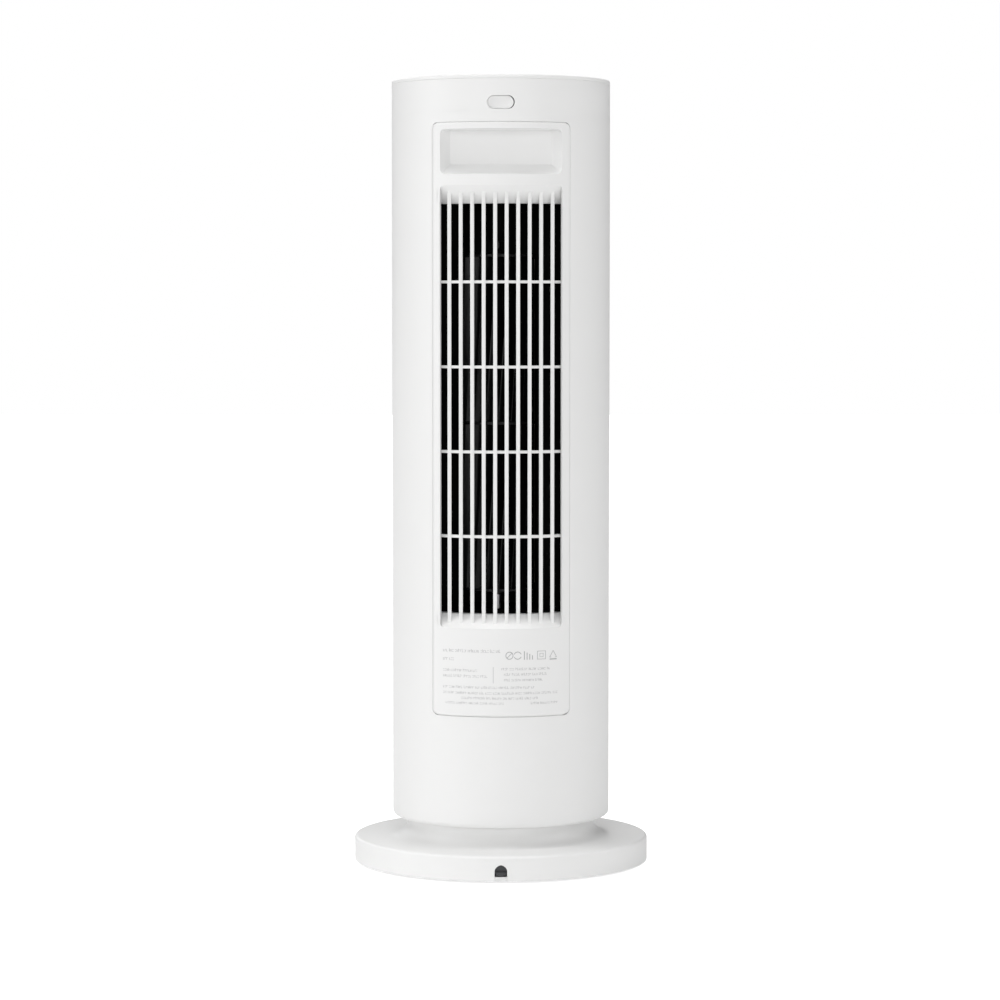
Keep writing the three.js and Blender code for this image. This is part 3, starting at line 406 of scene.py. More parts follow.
# Soft distant lamps: azimuth from the back view (left is negative), elevation, spread, strength.
lamps = {
    "leftLamp": (-80, 15, 25, 0.50),
    "leftHighLamp": (-75, 45, 25, 0.48),
    "leftFrontLamp": (-60, 8, 25, 0.15),
    "frontLamp": (-15, 8, 25, 0.38),
    "frontHighLamp": (0, 40, 25, 0.24),
    "rightFrontLamp": (22, 8, 25, 0.36),
    "rightLamp": (80, 30, 25, 0.38),
    "topLamp": (0, 84, 30, 1.10),
    "farLamp": (-160, 30, 40, 0.5),
}
worldStrength = 0.20


def makeLamp(name, azimuth, elevation, spread, strength):
    data = bpy.data.lights.new(name, "SUN")
    data.energy = strength
    data.angle = math.radians(spread)
    lamp = bpy.data.objects.new(name, data)
    turn, rise = math.radians(azimuth), math.radians(elevation)
    towards = Vector((-math.sin(turn) * math.cos(rise), math.cos(turn) * math.cos(rise), -math.sin(rise)))
    lamp.rotation_euler = towards.to_track_quat("-Z", "Y").to_euler()
    bpy.context.scene.collection.objects.link(lamp)


def makeStudio():
    world = bpy.data.worlds.new("studio")
    bpy.context.scene.world = world
    world.use_nodes = True
    tree = world.node_tree
    back = tree.nodes["Background"]
    back.inputs["Color"].default_value = (1, 1, 1, 1)
    back.inputs["Strength"].default_value = worldStrength
    seen = addNode(tree, "ShaderNodeBackground", Color=(1, 1, 1, 1), Strength=1.0)
    path = addNode(tree, "ShaderNodeLightPath")
    mix = addNode(tree, "ShaderNodeMixShader")
    link(tree, path, "Is Camera Ray", mix, 0)
    tree.links.new(back.outputs[0], mix.inputs[1])
    tree.links.new(seen.outputs[0], mix.inputs[2])
    tree.links.new(mix.outputs[0], tree.nodes["World Output"].inputs["Surface"])
    for name, settings in lamps.items():
        makeLamp(name, *settings)
    bpy.context.scene.view_settings.view_transform = "Standard"


floorPlane = {"half": 9.0, "glow": 0.80, "faintGlow": 0.04}   # half in metres


# The floor glows as the camera sees it, and only faintly on the heater.
def makeFloor():
    half = floorPlane["half"]
    corners = [(-half, -half, 0), (half, -half, 0), (half, half, 0), (-half, half, 0)]
    mesh = bpy.data.meshes.new("floor")
    mesh.from_pydata(corners, [], [[0, 1, 2, 3]])
    mat, tree, shader = nodeMaterial("paleFloor", (0.95, 0.95, 0.95), 0.7)
    shader.inputs["Specular IOR Level"].default_value = 0.1
    shader.inputs["Emission Color"].default_value = (1, 1, 1, 1)
    path = addNode(tree, "ShaderNodeLightPath")
    glow = addNode(tree, "ShaderNodeMath", operation="MULTIPLY_ADD")
    glow.inputs[1].default_value = floorPlane["glow"]
    glow.inputs[2].default_value = floorPlane["faintGlow"]
    link(tree, path, "Is Camera Ray", glow, 0)
    link(tree, glow, 0, shader, "Emission Strength")
    mesh.materials.append(mat)
    floor = bpy.data.objects.new("floor", mesh)
    bpy.context.scene.collection.objects.link(floor)


makeCamera()
makeStudio()
makeFloor()
print("camera, light and floor ready")

# ---- tower shells

switch = {"halfWidth": 8.8, "halfHeight": 4.2, "belowTop": 17.3}
panel = {
    "halfWidth": 43.5,
    "flange": 3.5,      # hidden behind the casing, above and below
    "corner": 4.0,
    "wall": 1.8,
    "recessHalf": 38.5,
    "proud": 0.22,      # the panel's edge stands this far out of the casing
    "settled": (0.09, -0.08),   # the panel sits to one side in its opening, so one joint is wider
    "lipStart": -0.1,   # a recess begins to sink this far outside its outline
}
panel["low"] = panelLow[2] + panel["flange"]
panel["high"] = panelHigh[2] - panel["flange"]
shell = {
    "half": math.pi / 2 * tower["radius"] - tower["joint"] / 2,   # half of its arc length
    "rimTop": tower["bottom"] + tower["lowerEdge"],
    "parting": panel["high"] + 6.0,   # where the sheets round the panel and round the switch meet
    "along": 60,        # points along a hole's level sides and along its upright sides
    "up": 90,
    "bevel": 0.35,
}


def arcOf(x):   # arc length at the tower's surface of a point x to the side
    return tower["radius"] * math.asin(x / tower["radius"])


# An opening for a part whose sides are given, larger than the part by the joint all round.
def openingLoop(halfWidth, low, high, corner):
    grown = tower["joint"]
    return roundedLoop(arcOf(halfWidth + grown), low - grown, high + grown, corner + grown, shell["along"],
                       shell["up"])


# Sheet of the casing's half: two framed holes, one above the other, and the turned-in lower rim.
def makeRearShell():
    radius, along, slitUp = tower["radius"], shell["along"], 8
    hole = openingLoop(panel["halfWidth"], panel["low"], panel["high"], panel["corner"])
    hole = hole + np.array(panel["settled"])
    outer = roundedLoop(shell["half"], shell["rimTop"], shell["parting"], 0, along, shell["up"])
    middle, halfHeight = tower["top"] - switch["belowTop"], switch["halfHeight"]
    slit = roundedLoop(switch["halfWidth"], middle - halfHeight, middle + halfHeight, halfHeight - 0.01,
                       along, slitUp)
    cap = roundedLoop(shell["half"], shell["parting"], tower["shellTop"], 0, along, slitUp)
    patches = [between(hole, outer, 26, radius, ease=1.3), between(slit, cap, 30, radius, ease=1.6)]
    patches.append(lowerRim(-math.pi))
    makePiece("rearShell", patches, "shell", "tower", ["rear_shell"], tower["wall"],
              shell["bevel"])


# Lower rim: a quarter round and a flat lip, turned through one half of the tower.
def lowerRim(start):
    edge, halfSweep = tower["lowerEdge"], shell["half"] / tower["radius"]
    profile = filleted([[tower["radius"] - tower["turnedIn"], tower["bottom"]],
                        [tower["radius"], tower["bottom"]],
                        [tower["radius"], tower["bottom"] + edge]], [0, edge - 0.001, 0], 7, closed=False)
    middle = start + math.pi / 2
    return lathe(profile, shell["along"], closed=False, start=middle - halfSweep, sweep=2 * halfSweep)


grilleLow, grilleHigh = span("front_grille")
outlet = {
    "halfWidth": 36.0,
    "low": grilleLow[2],
    "high": grilleHigh[2],
    "corner": 6.0,
    "innerCorner": 4.0,
    "rim": 4.0,
    "setback": 0.6,     # of the grille's face behind the casing's
    "depth": 7.0,
    "ribs": 19,
    "ribBehind": 0.6,   # of a rib's face behind the grille's
    "ribHalf": 0.8,
    "ribRootHalf": 0.55,
    "ribDepth": 6.0,
    "ribEnd": 2.0,
    "bars": 4,
    "barBehind": 1.4,   # of a bar's face behind the grille's
    "barDepth": 4.5,
    "barHeight": 1.8,
    "barEnd": 1.5,
}


def makeFrontShell():
    hole = openingLoop(outlet["halfWidth"], outlet["low"], outlet["high"], outlet["corner"])
    outer = roundedLoop(shell["half"], shell["rimTop"], tower["shellTop"], 0, shell["along"], shell["up"])
    patches = [between(hole, outer, 30, tower["radius"], front=True, ease=1.3), lowerRim(0)]
    makePiece("frontShell", patches, "shell", "tower", ["front_shell"], tower["wall"],
              shell["bevel"])


makeRearShell()
makeFrontShell()
print("casing ready")

# ---- back panel: one moulding, its surface a depth field over width and height

handle = {
    "below": 4.3,       # under the panel's top edge
    "height": 28.2,
    "depth": 17.5,
    "draft": 6.4,       # the slope's reach from a side to the floor
    "corner": 3.2,
    "lip": 0.7,
    "rounding": 0.7,    # where the slopes leave the panel's face
    "blend": 0.04,      # rounding where the slopes meet the floor, as a share of the depth
}
inlet = {
    "bar": 7.0,          # between the carrying recess and the inlet
    "label": 55.8,       # height of the rating plate's field under the inlet
    "upperSlope": 11.3,
    "lowerSlope": 8.6,
    "corner": 2.8,
    "lip": 0.45,
    "depth": 8.5,
    "through": 6.0,      # the wall of the slots' field goes this much deeper
    "throughEnd": 0.1,
    "margin": 0.25,      # wall left at the sides of the slots' field
    "ribs": 10,
    "endNarrowing": 0.35,
    "ribWidth": 2.5,
    "ribSetback": 2.8,
    "ribDepth": 6.0,
    "ribEnd": 1.2,       # the ribs end this far from the slopes' outer edges
    "rowEdge": 0.12,     # rows of the surface this close to the slots' ends
    "bars": 4,
    "barNarrowing": 0.158,
    "barHeight": 1.8,
    "barBehind": 1.0,    # of a bar's face behind the ribs' face
    "barDepth": 4.0,
    "barOver": 0.2,      # the bars reach this far into the panel's sides
}
handle["high"] = panel["high"] - handle["below"]
handle["low"] = handle["high"] - handle["height"]
inlet["high"] = handle["low"] - inlet["bar"]
inlet["low"] = panel["low"] + inlet["label"]
inlet["slotHigh"] = inlet["high"] - inlet["upperSlope"]
inlet["slotLow"] = inlet["low"] + inlet["lowerSlope"]


# The lower of two surfaces, m = min(a, b) - h^2 soft / 4, with h = max(soft - |a - b|, 0) / soft.
def smoothMin(a, b, soft):
    h = np.maximum(soft - np.abs(a - b), 0) / soft
    return np.minimum(a, b) - h * h * soft / 4


def smoothMax(a, b, soft):
    return -smoothMin(-a, -b, soft)


# From 0 to 1 between two edges: s = t^2 (3 - 2 t).
def smoothStep(x, edge0, edge1):
    t = np.clip((x - edge0) / (edge1 - edge0), 0, 1)
    return t * t * (3 - 2 * t)


# Grid lines: even steps between stops, closer ones near some places, and fine ones round the sharp edges.
def gridLines(stops, step, fineStops, fine, near):
    reach, close, band = 2.0, 0.4, 0.8
    lines = [np.arange(a, b, step) for a, b in zip(stops[:-1], stops[1:])] + [stops[-1:]]
    for stop in near:
        lines.append(np.arange(stop - reach, stop + reach, close))
    for stop in fineStops:
        lines.append(np.arange(stop - band, stop + band + 1e-6, fine))
    lines = np.unique(np.round(np.concatenate([np.ravel(line) for line in lines]), 3))
    keep = np.concatenate([[True], np.diff(lines) > fine * 0.6])
    return lines[keep & (lines >= stops[0]) & (lines <= stops[-1])]


# How far inside an opening a point lies: dx from its side and dz from its end, round the corner's arc.
def insideCorner(dx, dz, corner):
    bend = corner - np.hypot(np.minimum(dx - corner, 0), np.minimum(dz - corner, 0))
    return np.where((dx < corner) & (dz < corner), bend, np.minimum(dx, dz))


# y of the panel's face: the tower's round, pushed in by the carrying recess and by the inlet's lead-ins.
def panelFace(x, z):
    radius, half = tower["radius"] + panel["proud"], panel["recessHalf"]
    face = -np.sqrt(radius ** 2 - x ** 2)
    side = half - np.abs(x)
    ledge = -math.sqrt(radius ** 2 - half ** 2)
    floor = -radius + handle["depth"]
    edge = insideCorner(side, np.minimum(z - handle["low"], handle["high"] - z), handle["corner"])
    slope = insideCorner(side, z - handle["low"], handle["corner"] + 1) / handle["draft"]
    sunk = ledge + (floor - ledge) * smoothMin(slope, 1.0, handle["blend"])
    pocket = smoothMax(face, sunk, handle["rounding"])
    face = face + (pocket - face) * smoothStep(edge, panel["lipStart"], handle["lip"])
    depth = np.interp(z, [inlet["low"], inlet["slotLow"], inlet["slotHigh"], inlet["high"]],
                      [0, inlet["depth"], inlet["depth"], 0])
    inside = (z > inlet["slotLow"] + inlet["throughEnd"]) & (z < inlet["slotHigh"] - inlet["throughEnd"])
    inner = radius - depth - inlet["through"] * inside
    well = -np.sqrt(np.maximum(inner ** 2 - x ** 2, 1))
    edge = insideCorner(side, np.minimum(z - inlet["low"], inlet["high"] - z), inlet["corner"])
    return face + (well - face) * smoothStep(edge, panel["lipStart"], inlet["lip"])


panelGrid = {"across": 1.6, "fineAcross": 0.14, "up": 1.3, "fineUp": 0.16, "beside": 2.0}


# The panel as rows of points over its width and height, with rounded corners and the slots' field left out.
def panelSheet():
    half, corner, edge = panel["halfWidth"], panel["corner"], panel["recessHalf"]
    foot, beside = edge - handle["draft"], panelGrid["beside"]
    xs = gridLines(np.array([-half, -edge, -foot, 0, foot, edge, half]), panelGrid["across"], [-edge, edge],
                   panelGrid["fineAcross"], [-edge + beside, edge - beside, -foot, foot])
    wellStops = [inlet["low"], inlet["slotLow"], inlet["slotHigh"], inlet["high"]]
    stops = np.array([panel["low"], panel["low"] + corner, *wellStops, handle["low"], handle["high"],
                      panel["high"] - corner, panel["high"]])
    fineStops = [inlet["low"], inlet["high"], handle["low"], handle["high"]]
    near = [inlet["low"] + beside, inlet["high"] - beside, handle["low"] + beside, handle["high"] - beside,
            handle["low"] + handle["draft"]]
    slotRows = [inlet["slotLow"] + inlet["rowEdge"], inlet["slotHigh"] - inlet["rowEdge"]]
    lines = gridLines(stops, panelGrid["up"], fineStops, panelGrid["fineUp"], near)
    zs = np.unique(np.concatenate([lines, slotRows]))
    zone = np.minimum(zs - panel["low"], panel["high"] - zs)
    shrink = corner - np.sqrt(np.maximum(corner ** 2 - np.maximum(corner - zone, 0) ** 2, 0))
    x = xs[None, :] * (1 - shrink[:, None] / half)
    z = zs[:, None] + 0 * x
    points = np.stack([x, panelFace(x, z), z], -1)
    xMid = (x[1:, 1:] + x[1:, :-1]) / 2
    zMid = (z[1:, 1:] + z[:-1, 1:]) / 2
    hole = (np.abs(xMid) < edge - inlet["margin"]) & (zMid > slotRows[0]) & (zMid < slotRows[1])
    return patch(points, keep=~hole)


# Upright ribs: a rounded bar section whose front follows the tower's round.
def inletRibs():
    pitch = 2 * panel["recessHalf"] / (inlet["ribs"] + 1 - inlet["endNarrowing"])
    low = inlet["slotLow"] - inlet["lowerSlope"] + inlet["ribEnd"]
    high = inlet["slotHigh"] + inlet["upperSlope"] - inlet["ribEnd"]
    half = inlet["ribWidth"] / 2
    root = half * 0.8
    patches = []
    for i in range(inlet["ribs"]):
        x = pitch * (i - (inlet["ribs"] - 1) / 2)
        front = -math.sqrt((tower["radius"] - inlet["ribSetback"]) ** 2 - x * x)
        back = front + inlet["ribDepth"]
        section = filleted([[x - half, front], [x + half, front], [x + root, back], [x - root, back]],
                           [0.4, 0.4, 0.3, 0.3], 4)
        patches.append(prism(section, np.linspace(low, high, 12)))
    return patches


# Cross bars: a small rounded section carried round the tower's axis.
def crossBars(bottom, top, count, outer, depth, height, halfWidth, middle, narrowing=0.0):
    spacing = (top - bottom) / (count + 1 - narrowing)
    sweep = 2 * math.asin(halfWidth / outer)
    patches = []
    for i in range(count):
        z = (bottom + top) / 2 + spacing * (i - (count - 1) / 2)
        section = filleted([[outer - depth, z - height / 2], [outer, z - height / 2],
                            [outer, z + height / 2], [outer - depth, z + height / 2]], 0.4, 3)
        patches.append(lathe(section, 48, start=middle - sweep / 2, sweep=sweep))
    return patches


def makeRearPanel():
    makePiece("rearPanel", [panelSheet()], "panel", "tower", ["rear_panel"], panel["wall"])
    barFace = tower["radius"] - inlet["ribSetback"] - inlet["barBehind"]
    bars = crossBars(inlet["slotLow"], inlet["slotHigh"], inlet["bars"], barFace, inlet["barDepth"],
                     inlet["barHeight"], panel["recessHalf"] + inlet["barOver"], -math.pi / 2,
                     inlet["barNarrowing"])
    makePiece("inletGrille", inletRibs() + bars, "panel", "tower", ["rear_panel"])


label = {
    "low": 122.9,       # height that the lines of marks are counted from
    "radius": tower["radius"] + panel["proud"],
    "proud": 0.03,
    "sunk": 0.1,        # the print's back lies this deep in the panel
    "stroke": 0.2,
    "seed": 11,
    # each line of marks: its left and right end, its height over "low", and how tall its marks are
    "lines": [
        (-36.6, -1.0, 20.3, 1.5), (-36.6, -29.5, 15.0, 1.5), (-36.6, -15.0, 8.0, 1.3),
        (-36.6, -9.6, 4.4, 1.3), (0.4, 30.8, 9.2, 1.2), (2.0, 29.5, 5.8, 1.2), (2.0, 27.0, 2.2, 1.2),
        (-36.6, 21.0, -2.6, 1.2), (-36.6, 35.2, -6.2, 1.2), (-25.0, 22.8, -9.4, 1.2),
        (-35.0, 2.0, -12.6, 1.1), (19.0, 35.5, -12.6, 1.1),
    ],
    "signs": 18.4,      # height of the signs' middle over "low"
}


# A flat bar of print on the panel: from x0 to x1 and z0 to z1, following the round.
def printBar(x0, x1, z0, z1):
    x = np.linspace(x0, x1, max(2, int(abs(x1 - x0) / 1.5) + 2))
    rows = []
    under, over = label["radius"] - label["sunk"], label["radius"] + label["proud"]
    for radius, z in [(under, z0), (over, z0), (over, z1), (under, z1)]:
        rows.append(np.stack([x, -np.sqrt(radius ** 2 - x ** 2), np.full(len(x), z)], 1))
    points = np.stack(rows)
    flat, faces = patch(points, wrapRows=True, flip=True)
    count = len(x)
    faces += [[0, count, 2 * count, 3 * count], [4 * count - 1, 3 * count - 1, 2 * count - 1, count - 1]]
    return flat, faces


# A sloping stroke between two points of the panel, as a thin four-cornered bar.
def printStroke(a, b, width):
    a, b = np.array(a, float), np.array(b, float)
    along = (b - a) / np.linalg.norm(b - a)
    side = np.array([-along[1], along[0]]) * width / 2
    ring = np.array([a - side, b - side, b + side, a + side])
    rows = []
    for radius in (label["radius"] - label["sunk"], label["radius"] + label["proud"]):
        rows.append(np.stack([ring[:, 0], -np.sqrt(radius ** 2 - ring[:, 0] ** 2), ring[:, 1]], 1))
    flat, faces = patch(np.stack(rows), wrapCols=True)
    return flat, faces + [[4, 5, 6, 7], [3, 2, 1, 0]]


# A line of meaningless small marks in groups, from x0 to x1 on the height z.
def printLine(random, x0, x1, z, height):
    patches, x, stroke = [], x0, label["stroke"]
    left = random.integers(3, 8)
    while x < x1:
        width = random.uniform(0.55, 0.95)
        kind = random.integers(0, 4)
        tall = height * random.choice([1.0, 1.0, 1.35])
        if kind != 1:
            patches.append(printBar(x, x + stroke, z, z + tall))
        if kind in (0, 1):
            patches.append(printBar(x, x + width, z, z + stroke))
        if kind in (1, 2):
            patches.append(printBar(x, x + width, z + height - stroke, z + height))
        if kind == 3:
            patches.append(printBar(x + width - stroke, x + width, z, z + height))
        x += width + 0.3
        left -= 1
        if left == 0:
            x += 0.7
            left = random.integers(3, 8)
    return patches


# A ring or an arc of print, made of short strokes.
def printRing(x, z, radius, width, start=0.0, sweep=360.0):
    angles = np.radians(start + np.linspace(0, sweep, 15))
    ends = np.stack([x + radius * np.cos(angles), z + radius * np.sin(angles)], 1)
    return [printStroke(a, b, width) for a, b in zip(ends[:-1], ends[1:])]


def printBox(x0, x1, z0, z1, width):
    return [printBar(x0, x1, z0, z0 + width), printBar(x0, x1, z1 - width, z1),
            printBar(x0, x0 + width, z0, z1), printBar(x1 - width, x1, z0, z1)]


# Rating plate printed on the panel: rows of marks that say nothing, a divider, and four plain signs.
def makeRatingMarks():
    random = np.random.default_rng(label["seed"])
    patches, low = [], label["low"]
    for x0, x1, z, height in label["lines"]:
        patches += printLine(random, x0, x1, low + z, height)
    patches.append(printBar(-5.0, -4.75, low + 0.8, low + 11.2))
    z = low + label["signs"]
    patches += printRing(5.4, z, 2.3, 0.45) + [printStroke((3.9, z - 1.5), (6.9, z + 1.5), 0.4)]
    patches += printRing(10.6, z, 2.3, 0.45, 20, 140) + printRing(10.6, z, 2.3, 0.45, 200, 140)
    patches += [printBar(14.6 + 1.7 * i, 15.1 + 1.7 * i, z - 2.7, z + 2.7 - 0.9 * i) for i in range(4)]
    patches += printBox(23.0, 28.4, z - 2.7, z + 2.7, 0.3) + printBox(24.5, 26.9, z - 1.2, z + 1.2, 0.25)
    corners = [(30.9, z - 1.6), (35.3, z - 1.6), (33.1, z + 2.6)]
    patches += [printStroke(a, b, 0.3) for a, b in zip(corners, corners[1:] + corners[:1])]
    patches.append(printBar(30.9, 35.3, z - 3.2, z - 2.5))
    makePiece("ratingMarks", patches, "ink", "tower", (), closed=True)


makeRearPanel()
makeRatingMarks()
print("back panel ready")

# ---- front grille


# Outline of the outlet's rim, this far inside its outer edge.
def outletLoop(inset, corner):
    low, high = outlet["low"] + inset, outlet["high"] - inset
    return roundedLoop(arcOf(outlet["halfWidth"] - inset), low, high, corner, 40, 60)


def makeFrontGrille():
    outer, depth = tower["radius"] - outlet["setback"], outlet["depth"]
    half, rimWidth = outlet["halfWidth"], outlet["rim"]
    low, high = outlet["low"], outlet["high"]
    hole = lambda grow: outletLoop(rimWidth + grow, outlet["innerCorner"])
    edge = lambda grow: outletLoop(grow, outlet["corner"])
    rows = [(edge(0), outer - depth), (edge(0), outer - 0.6), (edge(0.2), outer - 0.2), (edge(0.6), outer),
            (hole(-0.8), outer), (hole(-0.3), outer - 0.25), (hole(0), outer - 0.8), (hole(0), outer - depth)]
    points = np.stack([wrap(loop, radius, front=True) for loop, radius in rows])
    patches = [patch(points, wrapRows=True, wrapCols=True)]
    pitch = 2 * (half - rimWidth) / (outlet["ribs"] + 1)
    wide, narrow = outlet["ribHalf"], outlet["ribRootHalf"]
    for i in range(outlet["ribs"]):
        x = pitch * (i - (outlet["ribs"] - 1) / 2)
        front = math.sqrt((outer - outlet["ribBehind"]) ** 2 - x * x)
        root = front - outlet["ribDepth"]
        section = filleted([[x - narrow, root], [x + narrow, root], [x + wide, front], [x - wide, front]],
                           [0.2, 0.2, 0.5, 0.5], 4)
        patches.append(prism(section, np.linspace(low + outlet["ribEnd"], high - outlet["ribEnd"], 12)))
    patches += crossBars(low + rimWidth, high - rimWidth, outlet["bars"], outer - outlet["barBehind"],
                         outlet["barDepth"], outlet["barHeight"], half - outlet["barEnd"], math.pi / 2)
    makePiece("outletGrille", patches, "panel", "tower", ["front_grille"], closed=True)


makeFrontGrille()
print("front grille ready")

# ---- top cover, keys and window

keys = {
    "radius": 6.0,
    "flange": 7.2,
    "flangeHeight": 1.3,
    "gap": 0.3,
    "edge": 0.5,
    "dish": 0.18,       # how deep the cap's middle lies
    "dishEdge": 1.4,
}
cover = {
    "edge": 1.0,        # rounding of its top edge
    "skirtInset": 2.7,
    "skirtWall": 2.4,
    "skirtHeight": 6.0,
    "windowGap": 0.3,
    "windowEdge": 0.3,
    "underWindow": 0.05,
}
windowLow, windowHigh = span("display_window")
keyNodes = ["power_button", "mode_button", "swing_button"]


# The window's outline, grown all round.
def windowLoop(grow):
    middle = (windowLow[0] + windowHigh[0]) / 2
    half = (windowHigh[0] - windowLow[0]) / 2 + grow
    loop = roundedLoop(half, windowLow[1] - grow, windowHigh[1] + grow, 3 + grow, 10, 6, 6)
    return loop + np.array([middle, 0])


# A disc with its edge and skirt, holes for the keys, and a shallow seat for the window.
def makeTopCover():
    top, under = tower["top"], tower["top"] - tower["coverEdge"]
    radius = tower["radius"]
    face, skirt = radius - cover["edge"], radius - cover["skirtInset"]
    skirtInner, skirtLow = skirt - cover["skirtWall"], under - cover["skirtHeight"]
    segments = 180
    shelf = windowLow[2] - cover["underWindow"]
    centres = [middleOf(node) for node in keyNodes]
    holeAt = lambda centre: (lambda grow: circle(keys["radius"] + keys["gap"] + grow, 40, centre))
    lip, gap, edge = keys["edge"], cover["windowGap"], cover["windowEdge"]
    loops = [holeAt(centre)(lip) for centre in centres] + [windowLoop(gap + edge)]
    patches = [plate(circle(face, segments), loops, top)]
    inner = [holeAt(centre)(0) for centre in centres]
    patches.append(plate(circle(skirtInner, segments), inner, under, False))
    outerProfile = filleted([[face, top], [radius, top], [radius, under], [skirt, under],
                             [skirt, skirtLow], [skirtInner, skirtLow], [skirtInner, under]],
                            [0, cover["edge"] - 0.01, 0.3, 0, 0.3, 0.3, 0], 5, closed=False)
    patches.append(lathe(outerProfile[::-1], segments, closed=False))
    rounded = [(lip, top), (lip * 0.3, top - lip * 0.3), (0, top - lip), (0, under)]
    patches += [rim(holeAt(centre), rounded, True) for centre in centres]
    seat = [(gap + edge, top), (gap + edge / 3, top - edge / 3), (gap, top - edge), (gap, shelf)]
    patches.append(rim(windowLoop, seat, True))
    patches.append(plate(windowLoop(gap), [], shelf))
    makePiece("topCover", patches, "shell", "tower", ["top_cover"], closed=True, even=True)


icon = {"thick": 0.02, "stroke": 0.45, "halfBar": 0.22}


def iconArc(radius, start, stop):
    angles = np.radians(np.linspace(start, stop, 28))
    unit = np.stack([np.cos(angles), np.sin(angles)], 1)
    half = icon["stroke"] / 2
    return np.concatenate([(radius + half) * unit, (radius - half) * unit[::-1]])


def iconBar(x0, x1, y0, y1):
    return [[x0, y0], [x1, y0], [x1, y1], [x0, y1]]


# Icons on the keys: a broken ring with a stroke, three bars, and an arc with a tip at both ends.
def iconPatches(kind, centre, height):
    half = icon["halfBar"]
    outlines = {
        "power": [iconArc(2.3, 125, 415), iconBar(-half, half, 0.7, 3.0)],
        "mode": [iconBar(-2.2, 2.2, y - half, y + half) for y in (-1.5, 0, 1.5)],
        "swing": [iconArc(2.6, 205, 335), [[-3.2, -0.5], [-1.7, -1.0], [-2.7, 0.6]],
                  [[3.2, -0.5], [2.7, 0.6], [1.7, -1.0]]],
    }
    return [prism(np.array(outline) + centre, [height, height + icon["thick"]]) for outline in outlines[kind]]


# A key: a shallow dished cap with a rounded rim, and the flange that keeps it in its hole.
def makeKeys():
    radius, flange, dish = keys["radius"], keys["flange"], keys["dish"]
    for node, kind in zip(keyNodes, ("power", "mode", "swing")):
        centre, bottom, top = middleOf(node), span(node)[0][2], span(node)[1][2]
        step = bottom + keys["flangeHeight"]
        corners = [[0, bottom], [flange, bottom], [flange, step], [radius, step], [radius, top],
                   [radius - keys["dishEdge"], top - dish * 2 / 3], [0, top - dish]]
        cap = turned(corners, [0, 0.2, 0.2, 0, keys["edge"], 1.0, 0], centre, 56, 5)
        makePiece(kind + "Button", [cap], "key", node, [node], closed=True)
        makePiece(kind + "Icon", iconPatches(kind, centre, top - dish + 0.01), "ink", node, (),
                  closed=True)


def makeWindow():
    top, low = windowHigh[2], windowLow[2]
    patches = [plate(windowLoop(-0.25), [], top), plate(windowLoop(0), [], low, False)]
    patches.append(rim(windowLoop, [(0, low), (0, top - 0.25), (-0.08, top - 0.08), (-0.25, top)]))
    makePiece("displayWindow", patches, "smoked", "tower", ["display_window"], closed=True,
              even=True)


makeTopCover()
makeKeys()
makeWindow()
print("top ready")

# ---- mains switch

rocker = {
    "pivotDepth": 4.5,
    "setback": 1.3,     # of its middle behind the casing's face
    "tilt": 6.0,
    "sideGap": 0.35,
    "endGap": 0.12,
    "reach": 3.5,       # how far it goes behind its pivot
}


# The rocker's face: a pill outline with a rounded rim and a dished middle, tipped about its upright pivot.
def makeRocker():
    half, halfHeight = switch["halfWidth"] - rocker["sideGap"], switch["halfHeight"] - rocker["endGap"]
    face = -rocker["pivotDepth"]
    middle = tower["top"] - switch["belowTop"]
    pivot = -tower["radius"] + rocker["setback"] + rocker["pivotDepth"]
    loopAt = lambda grow: roundedLoop(half + grow, -halfHeight - grow, halfHeight + grow,
                                      halfHeight + grow - 0.01, 16, 2, 12)
    rows = [(0, rocker["reach"]), (0, face + 0.6), (-0.18, face + 0.18), (-0.6, face), (-1.6, face + 0.12),
            (-2.8, face + 0.22), (-halfHeight + 0.02, face + 0.26)]
    angle = math.radians(-rocker["tilt"])
    points = []
    for grow, y in rows:
        loop = loopAt(grow)
        x = loop[:, 0] * math.cos(angle) - y * math.sin(angle)
        across = loop[:, 0] * math.sin(angle) + y * math.cos(angle)
        points.append(np.stack([x, pivot + across, middle + loop[:, 1]], 1))
    makePiece("mainsRocker", capped(np.stack(points)), "key", "mains_rocker", ["mains_rocker"],
              closed=True)


makeRocker()
print("switch ready")

# ---- fan

fan = {
    "centre": middleOf("impeller"),
    "bossDrop": 4.0,    # the boss stands out under the lowest disc
    "top": inlet["slotHigh"] - 32.4,
    "blades": 18,
    "radius": 24.0,
    "blade": 8.0,       # from rim to root
    "tip": 0.4,         # the blades end this far inside the discs' edge
    "thickness": 1.1,
    "twist": 18.0,      # degrees over one row of blades
    "disc": 2.0,
    "sweep": 14.0,      # degrees from rim to root
    "bow": 4.0,
}
fan["bottom"] = fanLow[2] + fan["bossDrop"]


# Section of a blade, both faces as one loop: angle = sweep s^2 + bow sin(pi s), with s from rim to root.
def bladeSection(steps=12):
    along = np.linspace(0, 1, steps)
    radius = fan["radius"] - fan["tip"] - (fan["blade"] - fan["tip"]) * along
    degrees = fan["sweep"] * along ** 2 + fan["bow"] * np.sin(math.pi * along)
    thick = fan["thickness"] / 2 * (0.45 + 0.55 * np.sin(math.pi * np.clip(along * 0.9 + 0.08, 0, 1)))
    sides = []
    for side in (1, -1):
        angle = np.radians(degrees) + side * thick / radius
        sides.append(np.stack([radius * np.cos(angle), radius * np.sin(angle)], 1))
    return np.concatenate([sides[0], sides[1][::-1]])


